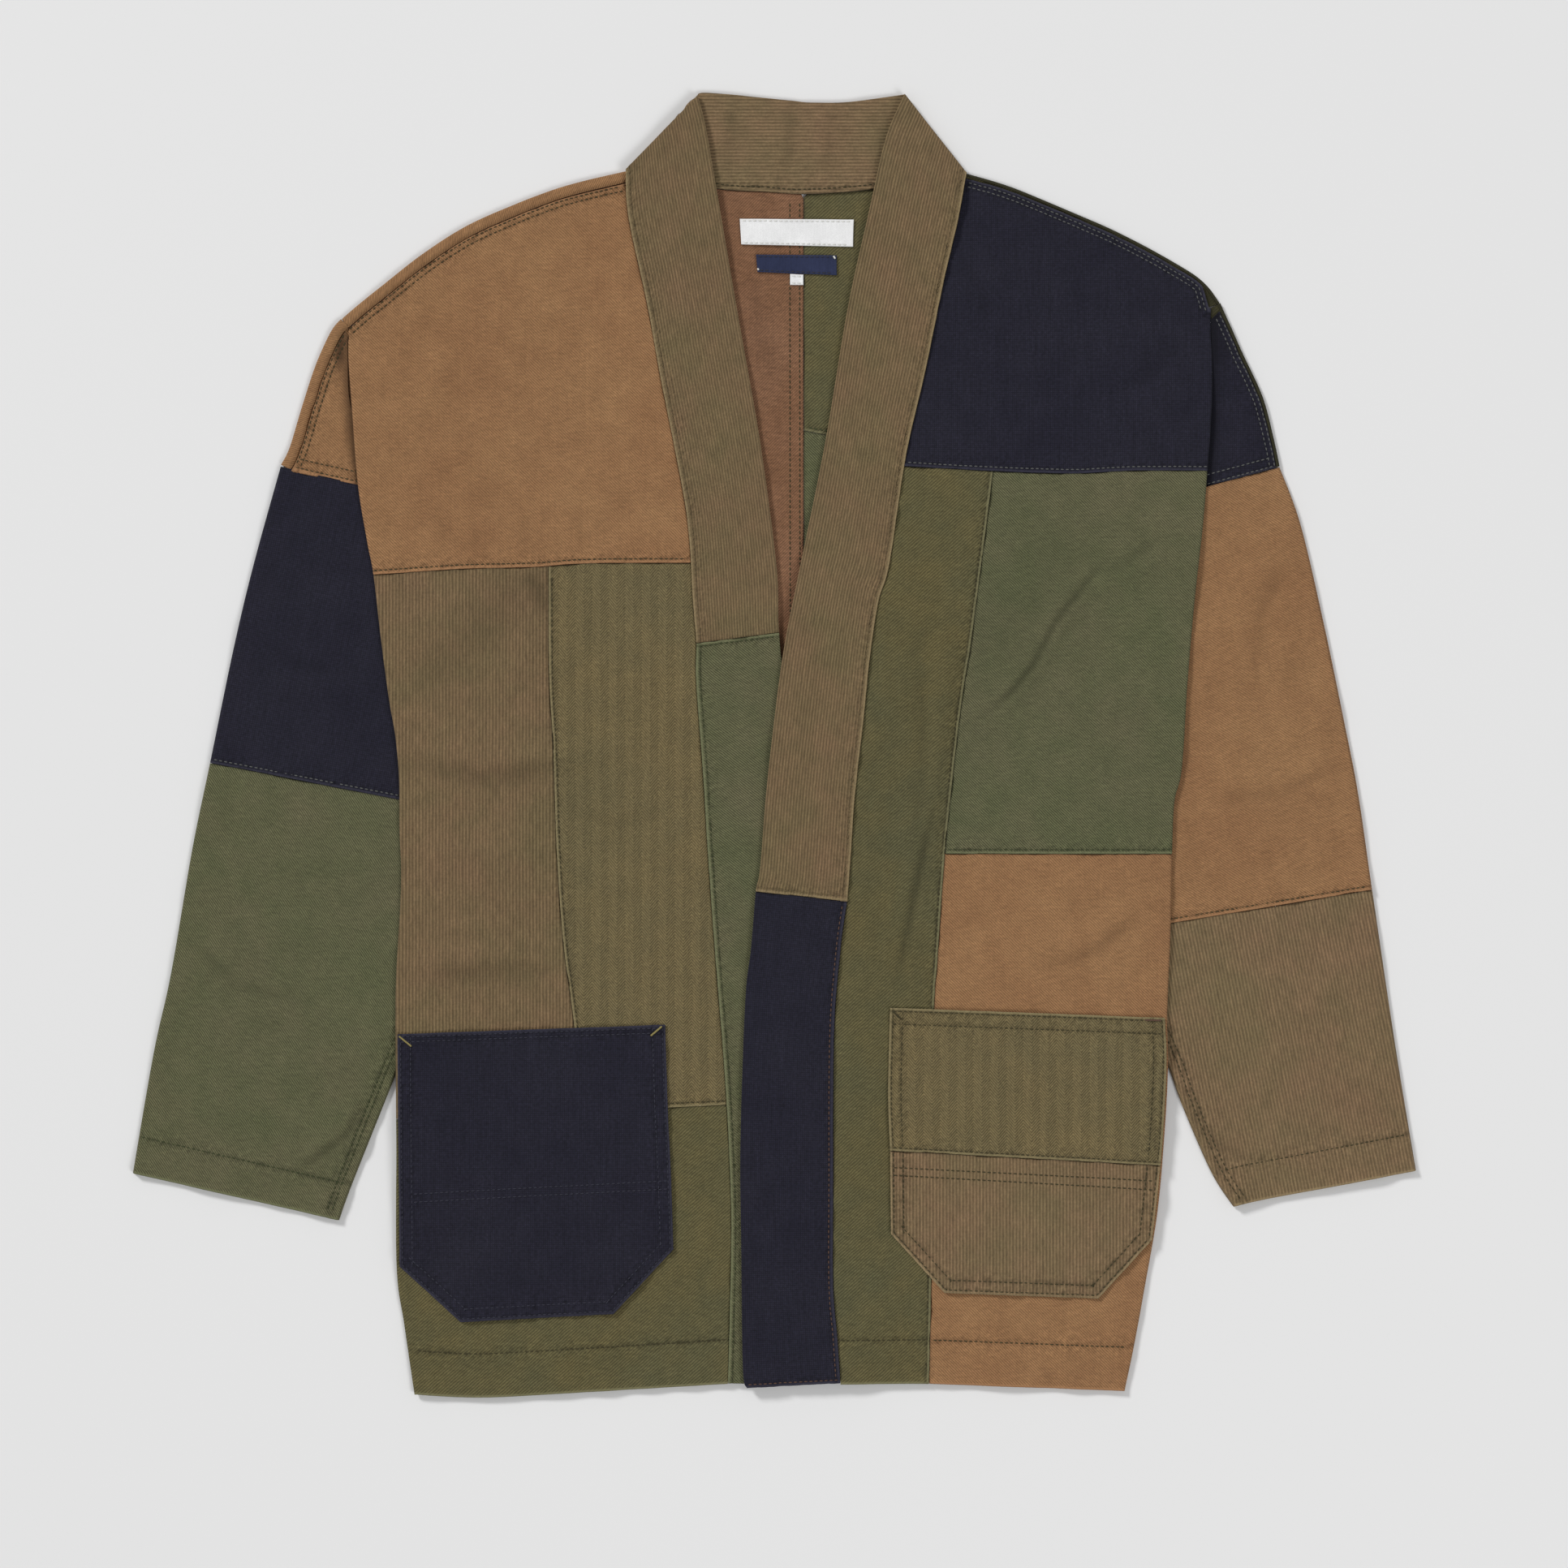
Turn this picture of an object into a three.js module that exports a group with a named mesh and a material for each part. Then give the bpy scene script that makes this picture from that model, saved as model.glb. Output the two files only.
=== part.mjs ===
// A patchwork jacket in kimono cut, lying flat with its fronts closed and its sleeves under its sides.
// Millimetres. +X is right and +Y is to the collar as it lies, and +Z is up from the surface under it.
// The origin is on that surface, under the middle of the whole outline.
import * as THREE from 'three';

const CLOTH = 1.2; // one thickness of cloth, pressed with its seam allowances
const BAND = 2.4; // the bands and the collar are folded double
const LABEL = 1.0; // a woven label
const SEAM = 0.3; // between two pieces at a seam
const REST = 0.5; // between a piece and the one that it lies on
const PLY = CLOTH + REST; // one layer of the pile
const FOLD = PLY / 2; // radius of a folded edge, at the middle of the cloth
const OVER_LEFT = 7; // the back comes this far over the left shoulder to its seam
const OVER_RIGHT = 2.2; // and only round the edge of the right one
const UNDER = 8; // the fronts go this far under to the side seam
const UNDER_TIP = 2; // and only this far at the tip of a pleat, below which it grows
const UNDER_STEP = 3; // by this much from one row to the next
const TUCK = 2 * PLY; // the body lies on both layers of a sleeve
const FALL = 80; // width over which the body comes down from the sleeve
const CROWN = 60; // length over which a pleat opens below its tip
const LAP = BAND + REST; // the right band lies on the left one
const LAP_TOP = 130; // where it begins to climb
const LAP_FOOT = 72; // where it has climbed
const LAP_FALL = 50; // the right front comes down from the band over this width
const LIFT_TOP_LEFT = 256; // the tips of the two pleats, below which the body comes up
const LIFT_TOP_RIGHT = 266;
const NECK_RISE = 1.6; // the bands climb onto the collar
const NECK_FOOT = 290; // from here
const NECK_TOP = 335; // to here
const BACK_HEM = 3; // the back's hem lies this much higher than the fronts'
const PARTING = 1.2; // the wings part from the yokes and the back at the tip of the pleat
const BELOW_TIP = 0.55; // a front wing begins this share of a row lower, where the pleat has opened

// How high the cross seams, the hems and the neck are at both of their ends.
const YOKE_LEFT = { side: 104.5, front: 112 };
const LOWER_LEFT = { side: -230, rib: -225.5, front: -221.5 };
const HEM_LEFT = { side: -399.5, front: -393 };
const YOKE_RIGHT = { front: 171.5, side: 168.5 };
const CHEST_FOOT = -67;
const HEM_RIGHT = { front: -393, side: -397.5 };
const BACK_CROSS = { centre: 193.5, side: 150 };
const BACK_HEM_CENTRE = -391;
const BACK_NECK = 339;
const BACK_SIDE_TOP = 222; // below this the side seams run beside the folds
const BAND_TOP = { outerLeft: 354, lapLeft: 399.5, outerRight: 352, lapRight: 400.5 };
const BAND_SEAM_LEFT = { outer: 62.5, lap: 69 };
const BAND_SEAM_RIGHT = { outer: -96, lap: -90 };
const BAND_HEM = { lapLeft: -392.5, outerRight: -392, lapRight: -395 };
const ARMHOLE_LEFT = { outer: [-304, 171.5], inner: [-231, 154] };
const ARMHOLE_RIGHT = { outer: [311, 171], inner: [243, 153] };
const ELBOW_LEFT = { outer: [-347.5, -11], inner: [-176, -44] };
const ELBOW_RIGHT = { outer: [368, -89], inner: [201, -116] };
const CUFF_LEFT = { outer: [-395, -263.5], inner: [-268, -292.5] };
const CUFF_RIGHT = { outer: [395, -262], inner: [282.5, -284] };

// Into how many rows and columns the nets of the pieces are divided.
const SHOULDER_STEPS = 12;
const BACK_ROWS = 27;
const BACK_COLUMNS = 10;
const NECK_ROWS = 5;
const CROSS_ROWS = 10;
const LOWER_ROWS = 21;
const WING_ROWS = 6;
const WING_COLUMNS = 4;
const SLEEVE_COLUMNS = 5;
const BAND_COLUMNS = 3;
const POCKET_COLUMNS = 10;
const POCKET_FOOT = [2, 6, 2]; // one count for each cut-off corner, and the foot between them

const COLOURS = {
  brown: '#8c6949',
  navy: '#262630',
  sage: '#585841',
  olive: '#5b563a',
  herringbone: '#6a5d41',
  rib: '#705d45',
  white: '#e6e6e6',
  blue: '#303653',
};

// Seams and edges, each a smooth line through a few points, from the top down.
function seam(...points) {
  return new THREE.SplineCurve(points.map(([x, y]) => new THREE.Vector2(x, y)));
}

const shoulderLeft = seam([-91.5, 352.5], [-132, 342.5], [-166.5, 329.5], [-192.5, 317.5], [-218, 301],
  [-239, 284.5], [-256, 271], [-267, 261.5]);
const shoulderRight = seam([118.5, 351], [145.5, 343], [183.5, 327.5], [218, 312], [252.5, 293],
  [266, 283], [274.5, 271.5]);
const wingLeft = seam([-267, 261.5], [-273, 254], [-282, 234.5], [-290.5, 209], [-298.5, 182.5],
  ARMHOLE_LEFT.outer);
const wingRight = seam([274.5, 271.5], [281, 257], [288.5, 240], [300.5, 214], [307.5, 188],
  ARMHOLE_RIGHT.outer);
const sideLeft = seam([-262, 256.5], [-262, 238], [-259.5, 205.5], [-256, 160], [-250.5, 125.5],
  [-246.5, 104.5], [-242, 65.5], [-237, 28], [-233, 5], [-230.8, -20], [-230.6, -50], [-229.5, -86],
  [-232.5, -140.5], [-233, -176], [-232.5, -245], [-232.5, -321.5], [-228, -356], [-221.5, -399.5]);
const sideRight = seam([267.8, 267.5], [268, 250], [268.8, 231.5], [268, 197], [266, 166.5], [263.5, 135.5],
  [258.5, 90], [254, 39], [250.5, -14.5], [246, -34.5], [244.5, -66], [243.5, -115], [241.5, -166],
  [242, -196], [240, -237.5], [235.5, -289], [227, -339], [221, -371.5], [215.5, -397.5]);
const frontLeft = seam([-91.5, 354], [-89.5, 324], [-78.5, 272.5], [-69.5, 223.5], [-60, 176],
  [-53, 134.5], [-50, 89], [-48, 62.5], [-48, 39], [-44, -16], [-40.5, -71], [-36, -133.5],
  [-30, -209.5], [-26.5, -288], [-27.5, -353], [-28.5, -394]);
const frontRight = seam([118, 352], [113, 324], [103.5, 282.5], [92.5, 229], [80.5, 176], [70.5, 110.5],
  [64, 89], [59, 57], [55, 19], [49.5, -30], [47, -65.5], [44.5, -96], [40.5, -125], [36.5, -179.5],
  [36, -266], [36, -331], [38.5, -363.5], [40.5, -393]);
const lapLeft = seam([-47, 399.5], [-42, 379.5], [-35.5, 342], [-22, 263], [-8.5, 185.5], [1.5, 109],
  [3, 69], [9, 9], [14, -91], [21, -241], [23, -392.5]);
const lapRight = seam([80, 400.5], [68.5, 373.5], [58, 328], [45, 269], [31, 185.5], [15.5, 109],
  [6, 61], [-1, 9], [-5.5, -33], [-9, -76.5], [-11.5, -90], [-14.5, -125], [-18, -157.5],
  [-21, -244.5], [-20.5, -309.5], [-19.5, -383], [-17, -395]);
const centreBack = seam([18, BACK_NECK], [18, BACK_CROSS.centre], [18.5, BACK_HEM_CENTRE]);
const ribSeam = seam([-139, 109], [-138.5, 42.5], [-136, -3.5], [-134, -64.5], [-130, -121],
  [-123.5, -170], [-118, -225.5]);
const columnTop = [134.5, 168.5];
const columnSeam = seam(columnTop, [128.5, 120], [121, 63.5], [116.5, 36], [112, 1], [107, -45],
  [103.5, -85], [100.5, -130], [98, -175], [96.5, -329], [95, -393.5]);

// The sleeves, with the edges that lie hidden under the body.
const sleeveLeftOuter = seam(ARMHOLE_LEFT.outer, [-321, 110], [-333, 59.5], ELBOW_LEFT.outer,
  [-358.5, -64.5], [-371.5, -140.5], [-382, -188.5], CUFF_LEFT.outer);
const sleeveLeftInner = seam(ARMHOLE_LEFT.inner, [-200, 110], [-178, 40], ELBOW_LEFT.inner, [-190, -90],
  [-212, -150], [-234, -205], [-259.5, -269], CUFF_LEFT.inner);
const sleeveRightOuter = seam(ARMHOLE_RIGHT.outer, [324, 135.5], [338, 76], [351.5, 11], [359.5, -30.5],
  ELBOW_RIGHT.outer, [382.5, -186.5], CUFF_RIGHT.outer);
const sleeveRightInner = seam(ARMHOLE_RIGHT.inner, [215.5, 99], [195.5, 34], [194, -41],
  ELBOW_RIGHT.inner, [221, -151], [241, -194.5], [251.5, -223], [269, -263], CUFF_RIGHT.inner);
const wingLeftInner = seam([-264, 254], [-263.2, 238], [-260.8, 208], [-247, 180], [-233, 154.5]);
const wingRightInner = seam([270, 264], [270.2, 245], [270, 228], [266.5, 205], [256, 178], [245.5, 153.7]);

// Where the body has come up onto the sleeve: under it lie the wing, then the sleeve, then nothing.
const tuckLeft = seam([-264, 262], [-260.8, 208], [-231, 154], [-200, 110], [-178, 40], [-176, -44],
  [-190, -90], [-212, -150], [-234, -205], [-268, -292.5], [-330, -400]);
const tuckRight = seam([270, 272], [266.5, 205], [243, 153], [215.5, 99], [195.5, 34], [194, -41],
  [201, -116], [221, -151], [241, -194.5], [282.5, -284], [340, -400]);

const SAMPLES = 400;
const ends = new Map();
const sideways = new Map();

// The point of a seam at a height, on a line that only goes down.
function on(line, y) {
  if (!ends.has(line)) ends.set(line, line.getSpacedPoints(SAMPLES));
  const points = ends.get(line);
  const last = points.length - 1;
  let i = 1;
  while (i < last && points[i].y > y) i += 1;
  const share = THREE.MathUtils.clamp((points[i - 1].y - y) / (points[i - 1].y - points[i].y), 0, 1);
  return [THREE.MathUtils.lerp(points[i - 1].x, points[i].x, share), y];
}

// The point of a cross seam at a distance to the right, on a line that only goes right.
function across(line, x) {
  const turned = sideways.get(line) ?? seam(...line.points.map((p) => [p.y, -p.x]));
  sideways.set(line, turned);
  return [x, on(turned, -x)[0]];
}

// Edges of a piece, each as a row of points: a stretch of a seam, a smooth line or straight stretches.
function run(line, top, foot, steps) {
  return Array.from({ length: steps + 1 }, (_, i) =>
    new THREE.Vector2(...on(line, THREE.MathUtils.lerp(top, foot, i / steps))));
}

function span(line, from, to, steps) {
  return Array.from({ length: steps + 1 }, (_, i) =>
    new THREE.Vector2(...across(line, THREE.MathUtils.lerp(from, to, i / steps))));
}

function smooth(points, steps) {
  return seam(...points).getSpacedPoints(steps);
}

function straight(points, counts) {
  const edge = [new THREE.Vector2(...points[0])];
  counts.forEach((count, k) => {
    for (let i = 1; i <= count; i += 1) {
      edge.push(new THREE.Vector2(...points[k]).lerp(new THREE.Vector2(...points[k + 1]), i / count));
    }
  });
  return edge;
}

function outwards(edge, i, side) {
  const before = edge[Math.max(i - 1, 0)];
  const after = edge[Math.min(i + 1, edge.length - 1)];
  const along = after.clone().sub(before).normalize();
  return new THREE.Vector2(-along.y * side, along.x * side);
}

function moved(edge, distance, side) {
  return edge.map((p, i) => p.clone().addScaledVector(outwards(edge, i, side), distance));
}

// A net of points between four edges, its rows from the head down and its columns from the left.
function net({ head, foot, left, right }) {
  const rows = left.length - 1;
  const columns = head.length - 1;
  return left.map((_, r) => head.map((__, c) => {
    const u = c / columns;
    const v = r / rows;
    const p = head[c].clone().multiplyScalar(1 - v).addScaledVector(foot[c], v);
    p.addScaledVector(left[r], 1 - u).addScaledVector(right[r], u);
    p.addScaledVector(head[0], -(1 - u) * (1 - v)).addScaledVector(head[columns], -u * (1 - v));
    return p.addScaledVector(foot[0], -(1 - u) * v).addScaledVector(foot[columns], -u * v);
  }));
}

// Draws the four sides of a net in by half a seam, and by more at an edge that is folded over.
function trim(grid, folded = []) {
  const rows = grid.length - 1;
  const columns = grid[0].length - 1;
  const by = (name) => (folded.includes(name) ? FOLD + CLOTH / 2 : SEAM / 2);
  const draw = (p, from, amount) => p.addScaledVector(from.clone().sub(p).normalize(), amount);
  for (let r = 0; r <= rows; r += 1) {
    draw(grid[r][0], grid[r][1], by('left'));
    draw(grid[r][columns], grid[r][columns - 1], by('right'));
  }
  for (let c = 0; c <= columns; c += 1) {
    draw(grid[0][c], grid[1][c], by('head'));
    draw(grid[rows][c], grid[rows - 1][c], by('foot'));
  }
  return grid;
}

// Heights of the underside of each layer.
const ease = (share) => THREE.MathUtils.smoothstep(share, 0, 1);

function lift(x, y) {
  if (x < 0) return TUCK * ease((LIFT_TOP_LEFT - y) / CROWN) * ease((on(tuckLeft, y)[0] + FALL - x) / FALL);
  return TUCK * ease((LIFT_TOP_RIGHT - y) / CROWN) * ease((x - on(tuckRight, y)[0] + FALL) / FALL);
}

// Creases of the fronts, each a soft ridge along a line.
const CREASES = [
  { line: [[196, 106], [174.5, 79], [161, 53], [144, 33], [126, 17]], height: 2.6, width: 9 },
  { line: [[113, 97], [103, 20], [94.5, -37.5], [77.5, -130]], height: 2.2, width: 9 },
  { line: [[-226, -1], [-177, -11], [-127, -7], [-97, -3.5]], height: 1.8, width: 10 },
  { line: [[-224, -136], [-177, -133.5], [-134, -131]], height: 1.2, width: 9 },
];

function creased(x, y) {
  const p = new THREE.Vector3(x, y, 0);
  return CREASES.reduce((sum, { line, height, width }) => {
    let nearest = Infinity;
    for (let i = 1; i < line.length; i += 1) {
      const [from, to] = [line[i - 1], line[i]].map((end) => new THREE.Vector3(...end, 0));
      const stretch = new THREE.Line3(from, to);
      nearest = Math.min(nearest, stretch.closestPointToPoint(p, true, new THREE.Vector3()).distanceTo(p));
    }
    return sum + height * Math.exp(-((nearest / width) ** 2));
  }, 0);
}

const lapped = (y) => ease((LAP_TOP - y) / (LAP_TOP - LAP_FOOT));
const floor = () => 0;
const front = (x, y) => PLY + lift(x, y) + creased(x, y)
  + (x > 0 ? LAP * lapped(y) * ease(1 - (x - on(frontRight, y)[0]) / LAP_FALL) : 0);
const pocket = (x, y) => front(x, y) + PLY;
const neck = (y) => PLY + NECK_RISE * ease((y - NECK_FOOT) / (NECK_TOP - NECK_FOOT));
const leftBand = (x, y) => neck(y);
const rightBand = (x, y) => neck(y) + LAP * lapped(y);
const label = () => CLOTH + SEAM;

function laid(grid, level, thick = CLOTH) {
  return grid.map((row) => row.map((p) => new THREE.Vector3(p.x, p.y, level(p.x, p.y) + thick / 2)));
}

// The points of a folded edge, from where the cloth begins to turn to the end of its lip.
const TURNS = [Math.PI / 3, (2 * Math.PI) / 3, Math.PI];

function folded(start, out, up, lip) {
  const points = TURNS.map((angle) => new THREE.Vector3(
    start.x + out.x * FOLD * Math.sin(angle),
    start.y + out.y * FOLD * Math.sin(angle),
    start.z + up * FOLD * (1 - Math.cos(angle)),
  ));
  if (lip > 0) points.push(points[2].clone().add(new THREE.Vector3(-out.x * lip, -out.y * lip, 0)));
  return points;
}

// How long the lip under a front is: short at the tip of the pleat, and soon its whole width.
const lipAt = (i) => Math.min(UNDER, UNDER_TIP + UNDER_STEP * i) - SEAM / 2;

function foldSides(points, side, lip) {
  const edge = points.map((row) => (side < 0 ? row[0] : row[row.length - 1]));
  const flat = edge.map((p) => new THREE.Vector2(p.x, p.y));
  return points.map((row, i) => {
    const turned = folded(edge[i], outwards(flat, i, side), -1, lip(i));
    return side < 0 ? [...turned.reverse(), ...row] : [...row, ...turned];
  });
}

function foldHead(points, lip) {
  const flat = points[0].map((p) => new THREE.Vector2(p.x, p.y));
  const turned = points[0].map((p, i) => folded(p, outwards(flat, i, 1), 1, lip));
  const rows = turned[0].map((_, k) => turned.map((column) => column[k]));
  return [...rows.reverse(), ...points];
}

// A wall of cloth about a net of points at the middle of its thickness. A ring's rows close on themselves.
function wall(points, thick, ring = false) {
  const rows = points.length;
  const columns = points[0].length;
  const position = [];
  const faces = [];
  const wrap = (c) => (ring ? (c + columns) % columns : THREE.MathUtils.clamp(c, 0, columns - 1));
  for (const side of [1, -1]) {
    for (let r = 0; r < rows; r += 1) {
      for (let c = 0; c < columns; c += 1) {
        const down = points[Math.min(r + 1, rows - 1)][c].clone().sub(points[Math.max(r - 1, 0)][c]);
        const right = points[r][wrap(c + 1)].clone().sub(points[r][wrap(c - 1)]);
        const p = points[r][c].clone().addScaledVector(down.cross(right).normalize(), (side * thick) / 2);
        position.push(p.x, p.y, p.z);
      }
    }
  }
  const inside = rows * columns;
  const at = (r, c) => r * columns + wrap(c);
  const side = (p, q) => faces.push(q, p, p + inside, q, p + inside, q + inside);
  const spans = ring ? columns : columns - 1;
  for (let r = 0; r < rows - 1; r += 1) {
    for (let c = 0; c < spans; c += 1) {
      const [a, b, d, e] = [at(r, c), at(r, c + 1), at(r + 1, c + 1), at(r + 1, c)];
      faces.push(a, e, d, a, d, b);
      faces.push(a + inside, d + inside, e + inside, a + inside, b + inside, d + inside);
    }
    if (!ring) {
      side(at(r, 0), at(r + 1, 0));
      side(at(r + 1, columns - 1), at(r, columns - 1));
    }
  }
  for (let c = 0; c < spans; c += 1) {
    side(at(0, c + 1), at(0, c));
    side(at(rows - 1, c), at(rows - 1, c + 1));
  }
  const geometry = new THREE.BufferGeometry();
  geometry.setAttribute('position', new THREE.Float32BufferAttribute(position, 3));
  geometry.setIndex(faces);
  geometry.computeVertexNormals();
  return geometry;
}

const jacket = new THREE.Group();

function piece(name, colour, geometry) {
  const finish = { color: COLOURS[colour], roughness: 0.92, metalness: 0 };
  const mesh = new THREE.Mesh(geometry, new THREE.MeshStandardMaterial(finish));
  mesh.name = name;
  jacket.add(mesh);
}

// The shoulder seams, where the fronts meet the back that comes over the silhouette.
const shoulderSeamLeft = moved(shoulderLeft.getSpacedPoints(SHOULDER_STEPS), OVER_LEFT, 1).reverse();
const shoulderSeamRight = moved(shoulderRight.getSpacedPoints(SHOULDER_STEPS), OVER_RIGHT, -1);
shoulderSeamRight[SHOULDER_STEPS].copy(sideRight.points[0]); // it ends at the tip of the pleat

// The left front: yoke, ribbed side panel, herringbone centre panel and lower panel.
const yokeLeftSide = on(sideLeft, YOKE_LEFT.side);
const yokeLeftFront = on(frontLeft, YOKE_LEFT.front);
const yokeHemLeft = seam(yokeLeftSide, [-190, 108.2], [-150, 109.3], [-114.5, 111.7], yokeLeftFront);
const ribTop = across(yokeHemLeft, ribSeam.points[0].x);

function sidePanel(name, colour, edges, foldedEdge, lip = () => UNDER - SEAM / 2) {
  const grid = trim(net(edges), foldedEdge ? [foldedEdge] : []);
  let points = laid(grid, front);
  if (foldedEdge) points = foldSides(points, foldedEdge === 'left' ? -1 : 1, lip);
  piece(name, colour, wall(points, CLOTH));
}

sidePanel('front_left_yoke', 'brown', {
  head: shoulderSeamLeft,
  foot: span(yokeHemLeft, yokeLeftSide[0], yokeLeftFront[0], SHOULDER_STEPS),
  left: run(sideLeft, shoulderSeamLeft[0].y, YOKE_LEFT.side, 11),
  right: run(frontLeft, shoulderSeamLeft[SHOULDER_STEPS].y, YOKE_LEFT.front, 11),
}, 'left', lipAt);

sidePanel('front_left_rib', 'rib', {
  head: span(yokeHemLeft, yokeLeftSide[0], ribTop[0], 6),
  foot: straight([on(sideLeft, LOWER_LEFT.side), on(ribSeam, LOWER_LEFT.rib)], [6]),
  left: run(sideLeft, YOKE_LEFT.side, LOWER_LEFT.side, 14),
  right: run(ribSeam, ribTop[1], LOWER_LEFT.rib, 14),
}, 'left');

sidePanel('front_left_herringbone', 'herringbone', {
  head: span(yokeHemLeft, ribTop[0], yokeLeftFront[0], 5),
  foot: straight([on(ribSeam, LOWER_LEFT.rib), on(frontLeft, LOWER_LEFT.front)], [5]),
  left: run(ribSeam, ribTop[1], LOWER_LEFT.rib, 14),
  right: run(frontLeft, YOKE_LEFT.front, LOWER_LEFT.front, 14),
});

const ribFoot = on(ribSeam, LOWER_LEFT.rib);
const hemLeftEnds = [on(sideLeft, HEM_LEFT.side), on(frontLeft, HEM_LEFT.front)];
sidePanel('front_left_lower', 'olive', {
  head: straight([on(sideLeft, LOWER_LEFT.side), ribFoot, on(frontLeft, LOWER_LEFT.front)], [5, 4]),
  foot: smooth([hemLeftEnds[0], [-180, -401.5], [-113, -398], hemLeftEnds[1]], 9),
  left: run(sideLeft, LOWER_LEFT.side, HEM_LEFT.side, 8),
  right: run(frontLeft, LOWER_LEFT.front, HEM_LEFT.front, 8),
}, 'left');

// The right front: yoke, column beside the band, chest panel and lower panel.
const yokeRightFront = on(frontRight, YOKE_RIGHT.front);
const yokeRightSide = on(sideRight, YOKE_RIGHT.side);
const yokeHemRight = seam(yokeRightFront, columnTop, [183.5, 167], [218, 168.5], yokeRightSide);
sidePanel('front_right_yoke', 'navy', {
  head: shoulderSeamRight,
  foot: span(yokeHemRight, yokeRightFront[0], yokeRightSide[0], SHOULDER_STEPS),
  left: run(frontRight, shoulderSeamRight[0].y, YOKE_RIGHT.front, 9),
  right: run(sideRight, shoulderSeamRight[SHOULDER_STEPS].y, YOKE_RIGHT.side, 9),
}, 'right', lipAt);

sidePanel('front_right_column', 'olive', {
  head: span(yokeHemRight, yokeRightFront[0], columnTop[0], 4),
  foot: straight([on(frontRight, HEM_RIGHT.front), on(columnSeam, HEM_RIGHT.front)], [4]),
  left: run(frontRight, YOKE_RIGHT.front, HEM_RIGHT.front, 28),
  right: run(columnSeam, columnTop[1], HEM_RIGHT.front, 28),
});

sidePanel('front_right_chest', 'sage', {
  head: span(yokeHemRight, columnTop[0], yokeRightSide[0], 9),
  foot: straight([on(columnSeam, CHEST_FOOT), on(sideRight, CHEST_FOOT)], [9]),
  left: run(columnSeam, columnTop[1], CHEST_FOOT, 12),
  right: run(sideRight, YOKE_RIGHT.side, CHEST_FOOT, 12),
}, 'right');

sidePanel('front_right_lower', 'brown', {
  head: straight([on(columnSeam, CHEST_FOOT), on(sideRight, CHEST_FOOT)], [6]),
  foot: straight([on(columnSeam, HEM_RIGHT.front), on(sideRight, HEM_RIGHT.side)], [6]),
  left: run(columnSeam, CHEST_FOOT, HEM_RIGHT.front, 15),
  right: run(sideRight, CHEST_FOOT, HEM_RIGHT.side, 15),
}, 'right');

// The drop shoulders of both yokes, which come out from under the pleat down to the armholes.
const armholeLeft = seam(ARMHOLE_LEFT.outer, [-287, 167.5], [-256, 160.5], ARMHOLE_LEFT.inner);
const armholeRight = seam(ARMHOLE_RIGHT.inner, [266, 159], ARMHOLE_RIGHT.outer);

// How long the flat part is of what comes over a shoulder.
const lipBeyond = (over) => over - FOLD - CLOTH / 2 - SEAM / 2;

function wings(sign, over, silhouette, innerLine, armhole, names, colours) {
  const side = sign < 0 ? 'left' : 'right';
  const edges = (outerEdge, below = 0) => {
    const innerEdge = innerLine.getSpacedPoints(WING_ROWS);
    outerEdge[0].lerp(outerEdge[1], below);
    innerEdge[0].lerp(innerEdge[1], below);
    const [left, right] = sign < 0 ? [outerEdge, innerEdge] : [innerEdge, outerEdge];
    return {
      head: straight([left[0].toArray(), right[0].toArray()], [WING_COLUMNS]),
      foot: span(armhole, left[WING_ROWS].x, right[WING_ROWS].x, WING_COLUMNS),
      left,
      right,
    };
  };
  const outerEdge = silhouette.getSpacedPoints(WING_ROWS);
  outerEdge[0].lerp(outerEdge[1], PARTING / outerEdge[0].distanceTo(outerEdge[1]));
  const seamEdge = moved(outerEdge, over, -sign);
  const foot = outerEdge[WING_ROWS].x - sign * over;
  seamEdge[WING_ROWS].set(...across(armhole, foot));
  piece(names[0], colours[0], wall(laid(trim(net(edges(seamEdge, BELOW_TIP))), () => PLY), CLOTH));

  const points = laid(trim(net(edges(outerEdge)), [side]), floor);
  const outer = points.map((row) => (sign < 0 ? row[0] : row[WING_COLUMNS]));
  const flat = outer.map((p) => new THREE.Vector2(p.x, p.y));
  const seamFoot = new THREE.Vector2(...across(armhole, foot));
  const alongArmhole = outerEdge[WING_ROWS].clone().sub(seamFoot).normalize();
  const turned = points.map((row, i) => {
    const out = i < WING_ROWS ? outwards(flat, i, sign) : alongArmhole;
    const bend = folded(outer[i], out, 1, lipBeyond(over));
    return sign < 0 ? [...bend.reverse(), ...row] : [...row, ...bend];
  });
  piece(names[1], colours[1], wall(turned, CLOTH));
}

wings(-1, OVER_LEFT, wingLeft, wingLeftInner, armholeLeft,
  ['front_left_wing', 'back_left_wing'], ['brown', 'brown']);
wings(1, OVER_RIGHT, wingRight, wingRightInner, armholeRight,
  ['front_right_wing', 'back_right_wing'], ['navy', 'olive']);

// The back: left of the centre seam it is whole, right of it there is a cross seam below the neck.
const necklineLeft = [[-91.5, 352.5], [-36.5, 342.5], [-5.5, 340.5], [18, BACK_NECK]];
const necklineRight = [[118.5, 351], [60.5, 342], [18, BACK_NECK]];
const sideClear = FOLD + CLOTH / 2 + UNDER + SEAM;
const cornerRows = 3; // the first rows of a side, from the shoulder round the corner

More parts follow.
